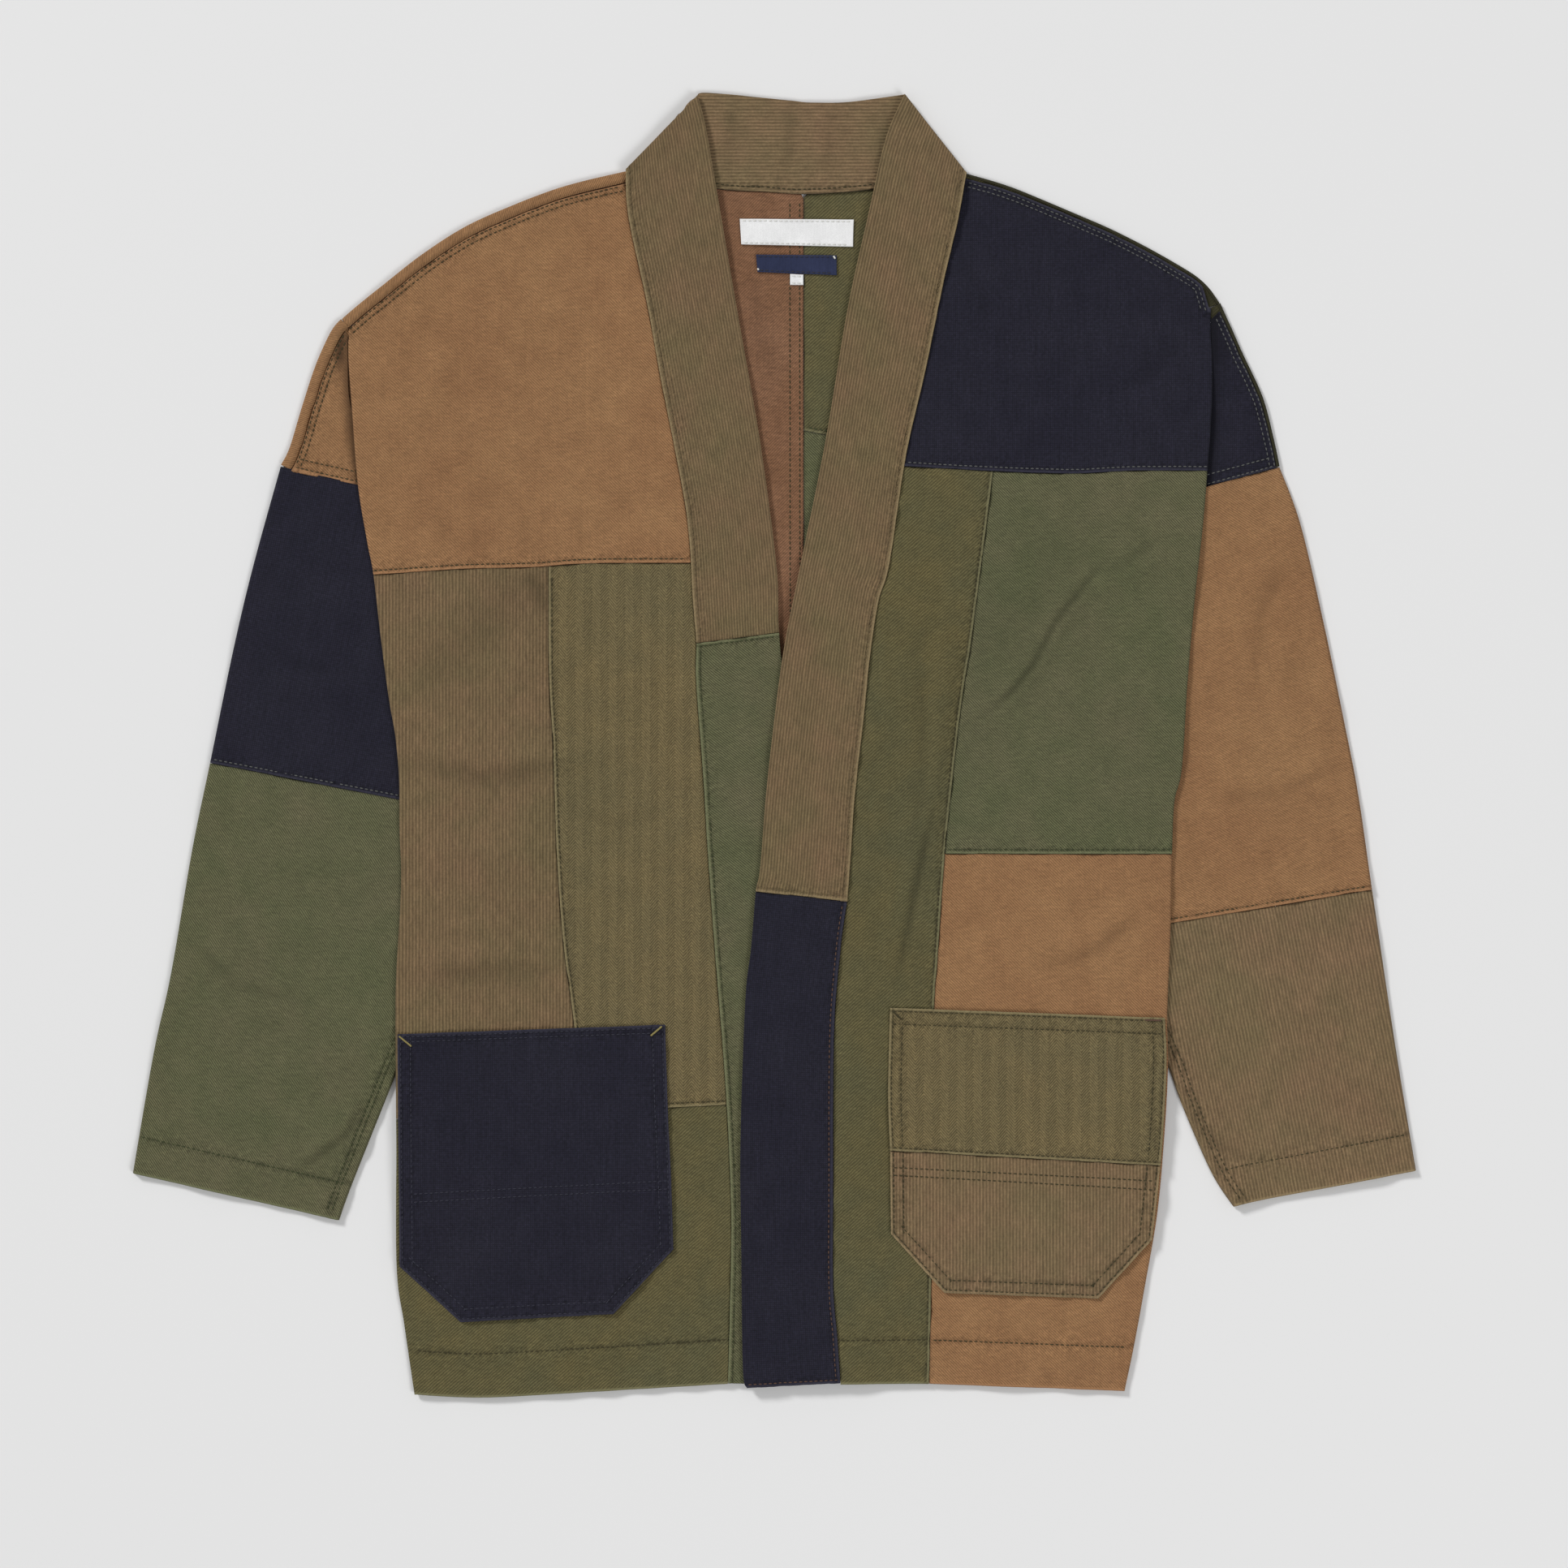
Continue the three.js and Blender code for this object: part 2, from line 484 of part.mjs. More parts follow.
const shifted = (edge, by) => edge.map((p) => new THREE.Vector2(p.x + by, p.y));
const corner = (...points) => points.map(([x, y]) => new THREE.Vector2(x, y));
const backSideLeft = [...corner([-267, 261.5], [-255, 257.5], [-250.5, 238]),
  ...shifted(run(sideLeft, BACK_SIDE_TOP, HEM_LEFT.side + BACK_HEM, BACK_ROWS - cornerRows), sideClear)];
const neckThenSeam = (neckline, foot, rows) => [...smooth(neckline, NECK_ROWS),
  ...run(centreBack, BACK_NECK, foot, rows - NECK_ROWS).slice(1)];

piece('back_left', 'brown', wall(foldHead(laid(trim(net({
  head: shoulderLeft.getSpacedPoints(BACK_COLUMNS).reverse(),
  foot: straight([backSideLeft[BACK_ROWS].toArray(), on(centreBack, BACK_HEM_CENTRE)], [BACK_COLUMNS]),
  left: backSideLeft,
  right: neckThenSeam(necklineLeft, BACK_HEM_CENTRE, BACK_ROWS),
}), ['head']), lift), lipBeyond(OVER_LEFT)), CLOTH));

const backSideRight = [...corner([274.5, 271.5], [262.5, 268.2], [257.3, 246]),
  ...shifted(run(sideRight, BACK_SIDE_TOP, BACK_CROSS.side, CROSS_ROWS - cornerRows), -sideClear)];
const lowerSideRight = shifted(
  run(sideRight, BACK_CROSS.side, HEM_RIGHT.side + BACK_HEM, LOWER_ROWS), -sideClear);
const crossSeam = straight([on(centreBack, BACK_CROSS.centre), lowerSideRight[0].toArray()], [BACK_COLUMNS]);
piece('back_right_upper', 'olive', wall(foldHead(laid(trim(net({
  head: shoulderRight.getSpacedPoints(BACK_COLUMNS),
  foot: crossSeam,
  left: neckThenSeam(necklineRight, BACK_CROSS.centre, CROSS_ROWS),
  right: backSideRight,
}), ['head']), lift), lipBeyond(OVER_RIGHT - SEAM)), CLOTH));

piece('back_right_lower', 'sage', wall(laid(trim(net({
  head: crossSeam,
  foot: straight([on(centreBack, BACK_HEM_CENTRE), lowerSideRight[LOWER_ROWS].toArray()], [BACK_COLUMNS]),
  left: run(centreBack, BACK_CROSS.centre, BACK_HEM_CENTRE, LOWER_ROWS),
  right: lowerSideRight,
})), lift), CLOTH));

// The sleeves, flat tubes of two lengths each, open at the cuff.
function sleeve(name, colour, edges) {
  const top = laid(trim(net(edges), ['left', 'right']), () => PLY);
  const last = top[0].length - 1;
  const turned = (row, i, from, next, side) => {
    const flat = top.map((points) => new THREE.Vector2(points[from].x, points[from].y));
    const along = new THREE.Vector2().subVectors(row[from], row[next]).normalize();
    const out = i === 0 || i === top.length - 1 ? along : outwards(flat, i, side);
    return folded(row[from], out, -1, 0).slice(0, 2);
  };
  const rings = top.map((row, i) => {
    const under = row.map((p) => new THREE.Vector3(p.x, p.y, p.z - PLY)).reverse();
    const right = turned(row, i, last, last - 1, 1);
    const left = turned(row, i, 0, 1, -1).reverse();
    return [...row, ...right, ...under, ...left];
  });
  piece(name, colour, wall(rings, CLOTH, true));
}

const midLeft = smooth([ELBOW_LEFT.outer, [-231.5, -33.5], ELBOW_LEFT.inner], SLEEVE_COLUMNS);
const midRight = smooth([ELBOW_RIGHT.inner, [244.5, -109.5], ELBOW_RIGHT.outer], SLEEVE_COLUMNS);
const cuffLeft = smooth([CUFF_LEFT.outer, CUFF_LEFT.inner], SLEEVE_COLUMNS);
const cuffRight = smooth(
  [CUFF_RIGHT.inner, [297, -280.5], [334.5, -273.5], CUFF_RIGHT.outer], SLEEVE_COLUMNS);

sleeve('sleeve_left_upper', 'navy', {
  head: span(armholeLeft, ARMHOLE_LEFT.outer[0], ARMHOLE_LEFT.inner[0], SLEEVE_COLUMNS),
  foot: midLeft,
  left: run(sleeveLeftOuter, ARMHOLE_LEFT.outer[1], ELBOW_LEFT.outer[1], 8),
  right: run(sleeveLeftInner, ARMHOLE_LEFT.inner[1], ELBOW_LEFT.inner[1], 8),
});
sleeve('sleeve_left_lower', 'sage', {
  head: midLeft,
  foot: cuffLeft,
  left: run(sleeveLeftOuter, ELBOW_LEFT.outer[1], CUFF_LEFT.outer[1], 11),
  right: run(sleeveLeftInner, ELBOW_LEFT.inner[1], CUFF_LEFT.inner[1], 11),
});
sleeve('sleeve_right_upper', 'brown', {
  head: span(armholeRight, ARMHOLE_RIGHT.inner[0], ARMHOLE_RIGHT.outer[0], SLEEVE_COLUMNS),
  foot: midRight,
  left: run(sleeveRightInner, ARMHOLE_RIGHT.inner[1], ELBOW_RIGHT.inner[1], 11),
  right: run(sleeveRightOuter, ARMHOLE_RIGHT.outer[1], ELBOW_RIGHT.outer[1], 11),
});
sleeve('sleeve_right_lower', 'rib', {
  head: midRight,
  foot: cuffRight,
  left: run(sleeveRightInner, ELBOW_RIGHT.inner[1], CUFF_RIGHT.inner[1], 8),
  right: run(sleeveRightOuter, ELBOW_RIGHT.outer[1], CUFF_RIGHT.outer[1], 8),
});

// The bands, double cloth along both fronts, each in two lengths.
function band(name, colour, edges, level) {
  piece(name, colour, wall(laid(trim(net(edges)), level, BAND), BAND));
}

const leftBandSeam = straight(
  [on(frontLeft, BAND_SEAM_LEFT.outer), on(lapLeft, BAND_SEAM_LEFT.lap)], [BAND_COLUMNS]);
const rightBandSeam = straight(
  [on(lapRight, BAND_SEAM_RIGHT.lap), on(frontRight, BAND_SEAM_RIGHT.outer)], [BAND_COLUMNS]);
band('band_left_upper', 'rib', {
  head: straight([on(frontLeft, BAND_TOP.outerLeft), on(lapLeft, BAND_TOP.lapLeft)], [BAND_COLUMNS]),
  foot: leftBandSeam,
  left: run(frontLeft, BAND_TOP.outerLeft, BAND_SEAM_LEFT.outer, 16),
  right: run(lapLeft, BAND_TOP.lapLeft, BAND_SEAM_LEFT.lap, 16),
}, leftBand);
band('band_left_lower', 'sage', {
  head: leftBandSeam,
  foot: straight([on(frontLeft, HEM_LEFT.front), on(lapLeft, BAND_HEM.lapLeft)], [BAND_COLUMNS]),
  left: run(frontLeft, BAND_SEAM_LEFT.outer, HEM_LEFT.front, 18),
  right: run(lapLeft, BAND_SEAM_LEFT.lap, BAND_HEM.lapLeft, 18),
}, leftBand);
band('band_right_upper', 'rib', {
  head: straight([on(lapRight, BAND_TOP.lapRight), on(frontRight, BAND_TOP.outerRight)], [BAND_COLUMNS]),
  foot: rightBandSeam,
  left: run(lapRight, BAND_TOP.lapRight, BAND_SEAM_RIGHT.lap, 24),
  right: run(frontRight, BAND_TOP.outerRight, BAND_SEAM_RIGHT.outer, 24),
}, rightBand);
band('band_right_lower', 'navy', {
  head: rightBandSeam,
  foot: straight([on(lapRight, BAND_HEM.lapRight), on(frontRight, BAND_HEM.outerRight)], [BAND_COLUMNS]),
  left: run(lapRight, BAND_SEAM_RIGHT.lap, BAND_HEM.lapRight, 14),
  right: run(frontRight, BAND_SEAM_RIGHT.outer, BAND_HEM.outerRight, 14),
}, rightBand);

// The back of the collar, which stands behind the bands and lies on the surface.
const collarTop = [[-47, 399.5], [-40.5, 401.5], [8, 397], [23, 395.5], [47, 396], [80, 400.5]];
const collarFoot = [[-91.5, 353.5], [-36.5, 343], [-5.5, 340.8], [18, 339.3], [60.5, 342.4], [118, 352]];
piece('collar_back', 'rib', wall(laid(trim(net({
  head: smooth(collarTop, BACK_COLUMNS),
  foot: smooth(collarFoot, BACK_COLUMNS),
  left: straight([collarTop[0], collarFoot[0]], [BAND_COLUMNS]),
  right: straight([collarTop.at(-1), collarFoot.at(-1)], [BAND_COLUMNS]),
})), floor, BAND), BAND));

// The patch pockets, with their lower corners cut off.
piece('pocket_left', 'navy', wall(laid(trim(net({
  head: straight([[-231.5, -177.5], [-67, -172]], [POCKET_COLUMNS]),
  foot: straight([[-230.5, -320.5], [-193, -355], [-99, -350], [-62, -310]], POCKET_FOOT),
  left: straight([[-231.5, -177.5], [-230.5, -320.5]], [8]),
  right: smooth([[-67, -172], [-65.5, -222], [-63.5, -264], [-62, -310]], 8),
})), pocket), CLOTH));
const pocketSeamRight = straight([[71, -249.5], [237.3, -258.5]], [POCKET_COLUMNS]);
piece('pocket_right_upper', 'herringbone', wall(laid(trim(net({
  head: straight([[71, -161.5], [239.8, -167.5]], [POCKET_COLUMNS]),
  foot: pocketSeamRight,
  left: smooth([[71, -161.5], [69.8, -213.5], [71, -249.5]], 5),
  right: smooth([[239.8, -167.5], [240.8, -196], [238.9, -237.5], [237.3, -258.5]], 5),
})), pocket), CLOTH));
piece('pocket_right_lower', 'rib', wall(laid(trim(net({
  head: pocketSeamRight,
  foot: straight([[71.5, -300.5], [104.5, -337], [199, -340.5], [232.3, -304]], POCKET_FOOT),
  left: straight([[71, -249.5], [71.5, -300.5]], [4]),
  right: straight([[237.3, -258.5], [232.3, -304]], [4]),
})), pocket), CLOTH));

// Three bare labels on the inside of the back, below the neck.
function labelPiece(name, colour, [a, b, c, d], columns) {
  piece(name, colour, wall(laid(trim(net({
    head: straight([a, b], [columns]),
    foot: straight([d, c], [columns]),
    left: straight([a, d], [1]),
    right: straight([b, c], [1]),
  })), label, LABEL), LABEL));
}
labelPiece('label_main', 'white', [[-21.5, 324], [49, 323.5], [48.5, 306.5], [-20.5, 308]], 4);
labelPiece('label_small', 'blue', [[-11.5, 302], [38.5, 301.5], [38.5, 289], [-10.5, 291]], 3);
labelPiece('size_tab', 'white', [[9.5, 290], [18, 289.6], [18, 283], [9.5, 283]], 1);

export default jacket;
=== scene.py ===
import math

import bmesh
import bpy
import numpy as np
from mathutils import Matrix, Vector


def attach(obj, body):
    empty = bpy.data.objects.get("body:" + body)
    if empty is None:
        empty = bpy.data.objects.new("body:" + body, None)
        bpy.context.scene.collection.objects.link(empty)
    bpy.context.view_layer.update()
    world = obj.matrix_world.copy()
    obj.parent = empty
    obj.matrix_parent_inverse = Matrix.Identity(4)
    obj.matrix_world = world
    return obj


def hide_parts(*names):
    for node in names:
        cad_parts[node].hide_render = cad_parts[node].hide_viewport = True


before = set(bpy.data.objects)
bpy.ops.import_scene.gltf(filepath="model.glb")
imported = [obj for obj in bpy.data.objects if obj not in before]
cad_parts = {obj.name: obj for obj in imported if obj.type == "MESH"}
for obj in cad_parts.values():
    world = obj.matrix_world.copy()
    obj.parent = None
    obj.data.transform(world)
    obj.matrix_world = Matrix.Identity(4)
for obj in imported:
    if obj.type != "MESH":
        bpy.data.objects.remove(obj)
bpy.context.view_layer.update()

# The surface is a wide sheet of pale, matt card, for the picture alone. A wide lamp where a window would
# be and a weaker one across from it light the jacket softly, and the light of the room fills the shades.
# The camera hangs straight above, a little towards the hem, with a long lens.
CARD_REACH = 16
CARD_DROP = 0.0001
CARD_GREY = 0.80
ROOM_LIGHT = 0.36
LAMPS = {"window_light": ((-6.5, 6.5, 6.0), 2.4, 796), "fill_light": ((3.4, -3.4, 4.6), 3.0, 161)}
card_mesh = bmesh.new()
bmesh.ops.create_grid(card_mesh, x_segments=1, y_segments=1, size=CARD_REACH)
card = bpy.data.objects.new("card", bpy.data.meshes.new("card"))
card_mesh.to_mesh(card.data)
card_mesh.free()
card.location.z = -CARD_DROP
bpy.context.scene.collection.objects.link(card)
pale = bpy.data.materials.new("pale_card")
pale.use_nodes = True
pale_shader = pale.node_tree.nodes["Principled BSDF"]
pale_shader.inputs["Base Color"].default_value = (CARD_GREY, CARD_GREY, CARD_GREY, 1)
pale_shader.inputs["Roughness"].default_value = 1
card.data.materials.append(pale)

world = bpy.data.worlds.new("room")
world.use_nodes = True
world.node_tree.nodes["Background"].inputs["Color"].default_value = (1, 1, 1, 1)
world.node_tree.nodes["Background"].inputs["Strength"].default_value = ROOM_LIGHT
bpy.context.scene.world = world
bpy.context.scene.view_settings.view_transform = "Standard"
for lamp_name, (place, size, power) in LAMPS.items():
    lamp = bpy.data.objects.new(lamp_name, bpy.data.lights.new(lamp_name, "AREA"))
    lamp.data.shape = "DISK"
    lamp.data.size = size
    lamp.data.energy = power
    lamp.location = place
    lamp.rotation_euler = (-Vector(place)).to_track_quat("-Z", "Y").to_euler()
    bpy.context.scene.collection.objects.link(lamp)

camera = bpy.data.objects.new("camera", bpy.data.cameras.new("camera"))
camera.data.lens = 85
camera.data.sensor_width = 36
camera.location = (0.0059, -0.024, 2.281)
bpy.context.scene.collection.objects.link(camera)
bpy.context.scene.camera = camera

# The sleeves are tubes of garment-dyed cotton, each in two lengths of different cloth. The lengths are
# sewn together across the arm with a row of topstitching, and the cuff is turned up and sewn down.
# They lie flat on the card, and the body lies on their upper ends. Lengths are in millimetres.
CLOTH = 1.2
REST = 0.5
PLY = CLOTH + REST
FOLD = PLY / 2
SEAM = 0.3
TUCK = 2 * PLY
DOUBLE = 2 * CLOTH
DARKEST = 1.4
SHARES = np.linspace(0, 1, 401)


def seam(*points):
    """A smooth line through a few points, in millimetres."""
    p = np.array(points, float)
    a = np.vstack([p[:1], p, p[-1:]])
    t = np.linspace(0, 1, 30, endpoint=False)[:, None]
    rows = []
    for i in range(len(p) - 1):
        v0, v1 = (a[i + 2] - a[i]) / 2, (a[i + 3] - a[i + 1]) / 2
        cube = 2 * p[i] - 2 * p[i + 1] + v0 + v1
        square = 3 * (p[i + 1] - p[i]) - 2 * v0 - v1
        rows.append(cube * t**3 + square * t**2 + v0 * t + p[i])
    return np.vstack([*rows, p[-1:]])


def on(line, y):
    """How far to the right a line is at a height."""
    return np.interp(-np.asarray(y, float), -line[:, 1], line[:, 0])


def spot(line, y):
    """The point of a line at a height."""
    return on(line, y), y


def along(line):
    """How far along a line each of its points is."""
    return np.concatenate([[0], np.cumsum(np.hypot(*np.diff(line, axis=0).T))])


def spaced(line):
    """An edge along a whole line, from its first point."""
    p = np.asarray(line, float)
    at = along(p)
    return np.column_stack([np.interp(SHARES * at[-1], at, p[:, k]) for k in (0, 1)])


def run(line, top, foot):
    """An edge along a line between two heights."""
    y = top + (foot - top) * SHARES
    return np.column_stack([on(line, y), y])


def span(line, start, end):
    """An edge along a cross seam between two distances to the right."""
    x = start + (end - start) * SHARES
    return np.column_stack([x, np.interp(x, line[:, 0], line[:, 1])])


def bent(points, shares):
    """An edge of straight stretches, with its corners at these shares of it."""
    p = np.array(points, float)
    return np.column_stack([np.interp(SHARES, shares, p[:, k]) for k in (0, 1)])


def straight(a, b):
    return bent([a, b], [0, 1])


def moved(line, distance):
    """A line moved to the right of its own direction."""
    d = np.gradient(line, axis=0)
    d /= np.linalg.norm(d, axis=1)[:, None]
    return line + distance * np.column_stack([d[:, 1], -d[:, 0]])


def stations(length, corners=()):
    """Shares of a length, close together by both of its ends, with one at each corner."""
    finest, widest, growth = 0.7, 2.6, 1.22
    steps, step = [0.0], finest
    while steps[-1] < length / 2:
        steps.append(steps[-1] + step)
        step = min(step * growth, widest)
    half = np.array(steps) * (length / 2) / steps[-1]
    shares = np.concatenate([half, length - half[-2::-1]]) / length
    for corner in corners:
        shares[np.abs(shares - corner).argmin()] = corner
    return shares


def beside(p, line):
    """How far each point is from a line, and how far along the line its nearest place is."""
    line = line[:: max(1, len(line) // 50)] if len(line) > 60 else line
    a, d = line[:-1], np.diff(line, axis=0)
    from_a = p[:, None] - a
    t = np.clip((from_a * d).sum(-1) / (d * d).sum(-1), 0, 1)
    apart = np.linalg.norm(from_a - t[..., None] * d, axis=-1)
    best = apart.argmin(1)
    i = np.arange(len(p))
    return apart[i, best], along(line)[best] + t[i, best] * np.linalg.norm(d, axis=1)[best]


def ripple(x, y, size, seed):
    """A soft uneven height about nought, with swells of about this size."""
    rng = np.random.default_rng(seed)
    total = np.zeros(np.shape(x))
    turns, phases, shares = rng.uniform(0, math.pi, 9), rng.uniform(0, 6.28, 9), rng.uniform(0.6, 1.7, 9)
    for turn, phase, share in zip(turns, phases, shares):
        k = 2 * math.pi * share / size
        total += np.sin(k * (x * math.cos(turn) + y * math.sin(turn)) + phase)
    return total / 3


def ease(share):
    s = np.clip(share, 0, 1)
    return s * s * (3 - 2 * s)


def hollow(height):
    """How dark a crease of this height or depth lies in its own shade."""
    return min(DARKEST, max(0, -height / 4))


def crease(p, line, width):
    """How much of a crease there is at each point, fading towards both of its ends."""
    away, s = beside(p, np.array(line, float))
    share = s / along(np.array(line, float))[-1]
    return np.exp(-((away / width) ** 2)) * (0.25 + 0.75 * ease(share * 4) * ease((1 - share) * 4))


def floor(x, y):
    return np.zeros(np.shape(x))


def upper(x, y):
    return np.full(np.shape(x), PLY)


def rgb(code):
    """A colour as the shader wants it, from its web code."""
    c = np.array([int(code[i : i + 2], 16) / 255 for i in (0, 2, 4)])
    return (*np.where(c <= 0.04045, c / 12.92, ((c + 0.055) / 1.055) ** 2.4), 1)


def cloth(name, colour, other, weave, pitch, depth=0.12, contrast=0.4, grainy=0.5, streak=0.1, slant=1.0,
          edge=1.0):
    """A woven cloth: its threads in relief, dye that drifts between two shades, slubs, small wrinkles where
    a seam gathers it, in relief and with their light and shade painted into the colour, seam edges worn
    pale, and painted shade in creases, pleat recesses and seam grooves."""
    material = bpy.data.materials.new(name)
    material.use_nodes = True
    tree = material.node_tree
    shader = tree.nodes["Principled BSDF"]

    def add(kind, inputs=(), **settings):
        n = tree.nodes.new(kind)
        for key, value in settings.items():
            setattr(n, key, value)
        for key, value in dict(inputs).items():
            if isinstance(value, bpy.types.NodeSocket):
                tree.links.new(value, n.inputs[key])
            else:
                n.inputs[key].default_value = value
        return n

    def sums(operation, a, b=0.0, c=0.0):
        return add("ShaderNodeMath", {0: a, 1: b, 2: c}, operation=operation).outputs[0]

    def mix(share, a, b):
        return add("ShaderNodeMix", {0: share, 6: a, 7: b}, data_type="RGBA").outputs[2]

    def noise(scale, detail=2.0, stretch=(1, 1, 1), turn=0.0, offset=0.0):
        place = add("ShaderNodeMapping", {
            "Vector": threads.outputs["UV"], "Scale": stretch, "Rotation": (0, 0, turn),
            "Location": (offset, offset, 0)})
        return add("ShaderNodeTexNoise", {
            "Vector": place.outputs[0], "Scale": scale, "Detail": detail}).outputs["Fac"]

    def about_one(value, amount):
        return sums("MULTIPLY_ADD", value, amount, 1 - amount / 2)

    threads = add("ShaderNodeUVMap", uv_map="threads")
    parts = add("ShaderNodeSeparateXYZ", {0: threads.outputs["UV"]})
    u, v = parts.outputs[0], parts.outputs[1]
    wander = noise(0.25, offset=11)
    picks = noise(0.7, offset=40)
    turn = 2 * math.pi / pitch

    def wave(value):
        return sums("MULTIPLY_ADD", sums("SINE", sums("MULTIPLY", value, turn)), 0.5, 0.5)

    if weave == "twill":
        height = wave(sums("ADD", sums("MULTIPLY_ADD", u, slant, v), wander))
        broken = noise(0.45, 2.0, (0.35, 1.3, 1), -math.atan(slant), 70)
    elif weave == "herringbone":
        stripe, steep = 5.1, 1.15
        zigzag = sums("MULTIPLY_ADD", sums("PINGPONG", u, stripe), steep, v)
        height = wave(sums("ADD", zigzag, sums("MULTIPLY", wander, 0.4)))
        side = sums("LESS_THAN", sums("FRACT", sums("MULTIPLY", u, 1 / (2 * stripe))), 0.5)
        height = sums("ADD", height, sums("MULTIPLY_ADD", side, 0.16, -0.08))
        broken = noise(0.6, 2.0, (1, 0.6, 1), 0, 70)
    elif weave == "rib":
        height = wave(sums("ADD", u, sums("MULTIPLY", wander, 0.4)))
        broken = noise(0.5, 2.0, (1.0, 0.25, 1), 0, 70)
    else:
        height = sums("MULTIPLY", wave(u), wave(v))
        broken = noise(0.5, 2.0, (1, 1, 1), 0, 70)
    slubs = noise(0.5, 2.0, (1.0, 0.07, 1), 0, 90)
    dye = noise(0.014, 3.0, offset=300)
    cloud = noise(0.06, 2.0, offset=170)
    fine = noise(2.2, 1.0, offset=7)
    shade = sums("MULTIPLY", about_one(height, contrast), about_one(broken, grainy))
    for part, amount in ((slubs, streak * 2), (picks, grainy), (cloud, 0.25), (fine, 0.4)):
        shade = sums("MULTIPLY", shade, about_one(part, amount))
    pucker = add("ShaderNodeAttribute", attribute_name="pucker").outputs["Fac"]
    gathers = sums("MULTIPLY", pucker, sums("SUBTRACT", noise(0.32, 1.0, offset=520), 0.5))
    # Painted light and shade of the small wrinkles by the seams: the colour is lightened and darkened with
    # them.
    shade = sums("MULTIPLY", shade, sums("MULTIPLY_ADD", gathers, 1.1, 1.0))
    patchy = sums("ADD", sums("MULTIPLY", dye, 0.7), sums("MULTIPLY", cloud, 0.3))
    drift = add("ShaderNodeMapRange", {0: patchy, 1: 0.36, 2: 0.64}).outputs[0]
    dyed = mix(drift, rgb(colour), rgb(other))
    base = add("ShaderNodeVectorMath", {0: dyed, 3: shade}, operation="SCALE").outputs[0]
    wear = add("ShaderNodeAttribute", attribute_name="wear").outputs["Fac"]
    painted_shade = add("ShaderNodeAttribute", attribute_name="painted_shade").outputs["Fac"]
    pale = tuple(min(1, c * (1 + 1.1 * edge) + 0.02 * edge) for c in rgb(colour)[:3]) + (1,)
    worn = mix(sums("MULTIPLY", wear, about_one(picks, 0.8)), base, pale)
    # Painted shade: the colour is darkened in creases, pleat recesses and along seams, where they lie in
    # shade.
    dark = mix(sums("MULTIPLY", painted_shade, 0.7), worn, tuple(c * 0.3 for c in rgb(colour)[:3]) + (1,))
    tree.links.new(dark, shader.inputs["Base Color"])
    tree.links.new(sums("MULTIPLY_ADD", picks, 0.12, 0.85), shader.inputs["Roughness"])
    shader.inputs["Specular IOR Level"].default_value = 0.15
    shader.inputs["Sheen Weight"].default_value = 0.04
    shader.inputs["Sheen Roughness"].default_value = 0.6
    gather_height = 2.2
    relief_height = sums("ADD", height, sums("MULTIPLY", fine, 0.6))
    relief_height = sums("MULTIPLY_ADD", gathers, gather_height / depth, relief_height)
    bump = add("ShaderNodeBump", {"Height": relief_height, "Distance": depth / 1000, "Strength": 1.0})
    tree.links.new(bump.outputs[0], shader.inputs["Normal"])
    return material


navy = cloth("navy_cloth", "21202d", "252430", "plain", 1.3, contrast=0.6, grainy=0.9, streak=0.25, edge=0.6)
sage = cloth("sage_cloth", "585a3f", "5e5b43", "twill", 1.7, contrast=0.95, grainy=0.6, streak=0.04,
    edge=0.55)
brown = cloth("brown_twill", "8b6646", "916d4b", "twill", 1.8, contrast=0.55, grainy=0.5, edge=0.35)
olive = cloth("olive_twill", "57543a", "5e5638", "twill", 2.0, contrast=0.65, grainy=0.65, slant=-0.9,
    edge=0.9)
rib = cloth("ribbed_cloth", "6f6044", "755f46", "rib", 2.05, depth=0.3, contrast=0.5, grainy=0.65, edge=0.6)
pale_rib = cloth("ribbed_cloth_pale", "746448", "7a634a", "rib", 2.05, depth=0.3, contrast=0.5, grainy=0.65,
    edge=0.6)
herringbone = cloth("herringbone_cloth", "675d41", "6c5f41", "herringbone", 1.9, contrast=0.7, grainy=0.7,
    edge=0.7)


def net(head, foot, left, right, u, v, inset):
    """Points between four edges, at these shares across and down and inset by this much at each edge."""

    def at(edge, share):
        return np.stack([np.interp(share, SHARES, edge[:, k]) for k in (0, 1)], axis=-1)

    width = np.linalg.norm(at(right, v) - at(left, v), axis=1)[:, None]
    height = np.linalg.norm(at(foot, u) - at(head, u), axis=1)[None]
    top, bottom, near, far = inset
    u = near / width + (1 - (near + far) / width) * u[None]
    v = top / height + (1 - (top + bottom) / height) * v[:, None]
    us, vs = u[..., None], v[..., None]
    grid = at(head, u) * (1 - vs) + at(foot, u) * vs + at(left, v) * (1 - us) + at(right, v) * us
    head_chord = head[0] * (1 - us) + head[-1] * us
    foot_chord = foot[0] * (1 - us) + foot[-1] * us
    return grid - head_chord * (1 - vs) - foot_chord * vs


def inside(p, outline):
    """Whether each point is inside a closed outline."""
    a, b = outline, np.roll(outline, -1, axis=0)
    x, y = p[:, :1], p[:, 1:]
    crosses = (a[:, 1] > y) != (b[:, 1] > y)
    rise = np.where(b[:, 1] == a[:, 1], 1e-9, b[:, 1] - a[:, 1])
    return (crosses & (x < (b[:, 0] - a[:, 0]) * (y - a[:, 1]) / rise + a[:, 0])).sum(1) % 2 == 1


def thread(name, colour):
    """Sewing thread, slightly uneven in its dye."""
    return cloth(name, colour, colour, "plain", 0.5, depth=0.05, contrast=0.2, grainy=0.2)


olive_thread = thread("olive_thread", "3f3a26")
grey_thread = thread("grey_thread", "5b5c5a")
navy_thread = thread("navy_thread", "34343f")
green_thread = thread("green_thread", "3c4229")
red_thread = thread("red_brown_thread", "5a4438")
tan_thread = thread("tan_thread", "6a5b40")
khaki_thread = thread("khaki_thread", "8c8050")


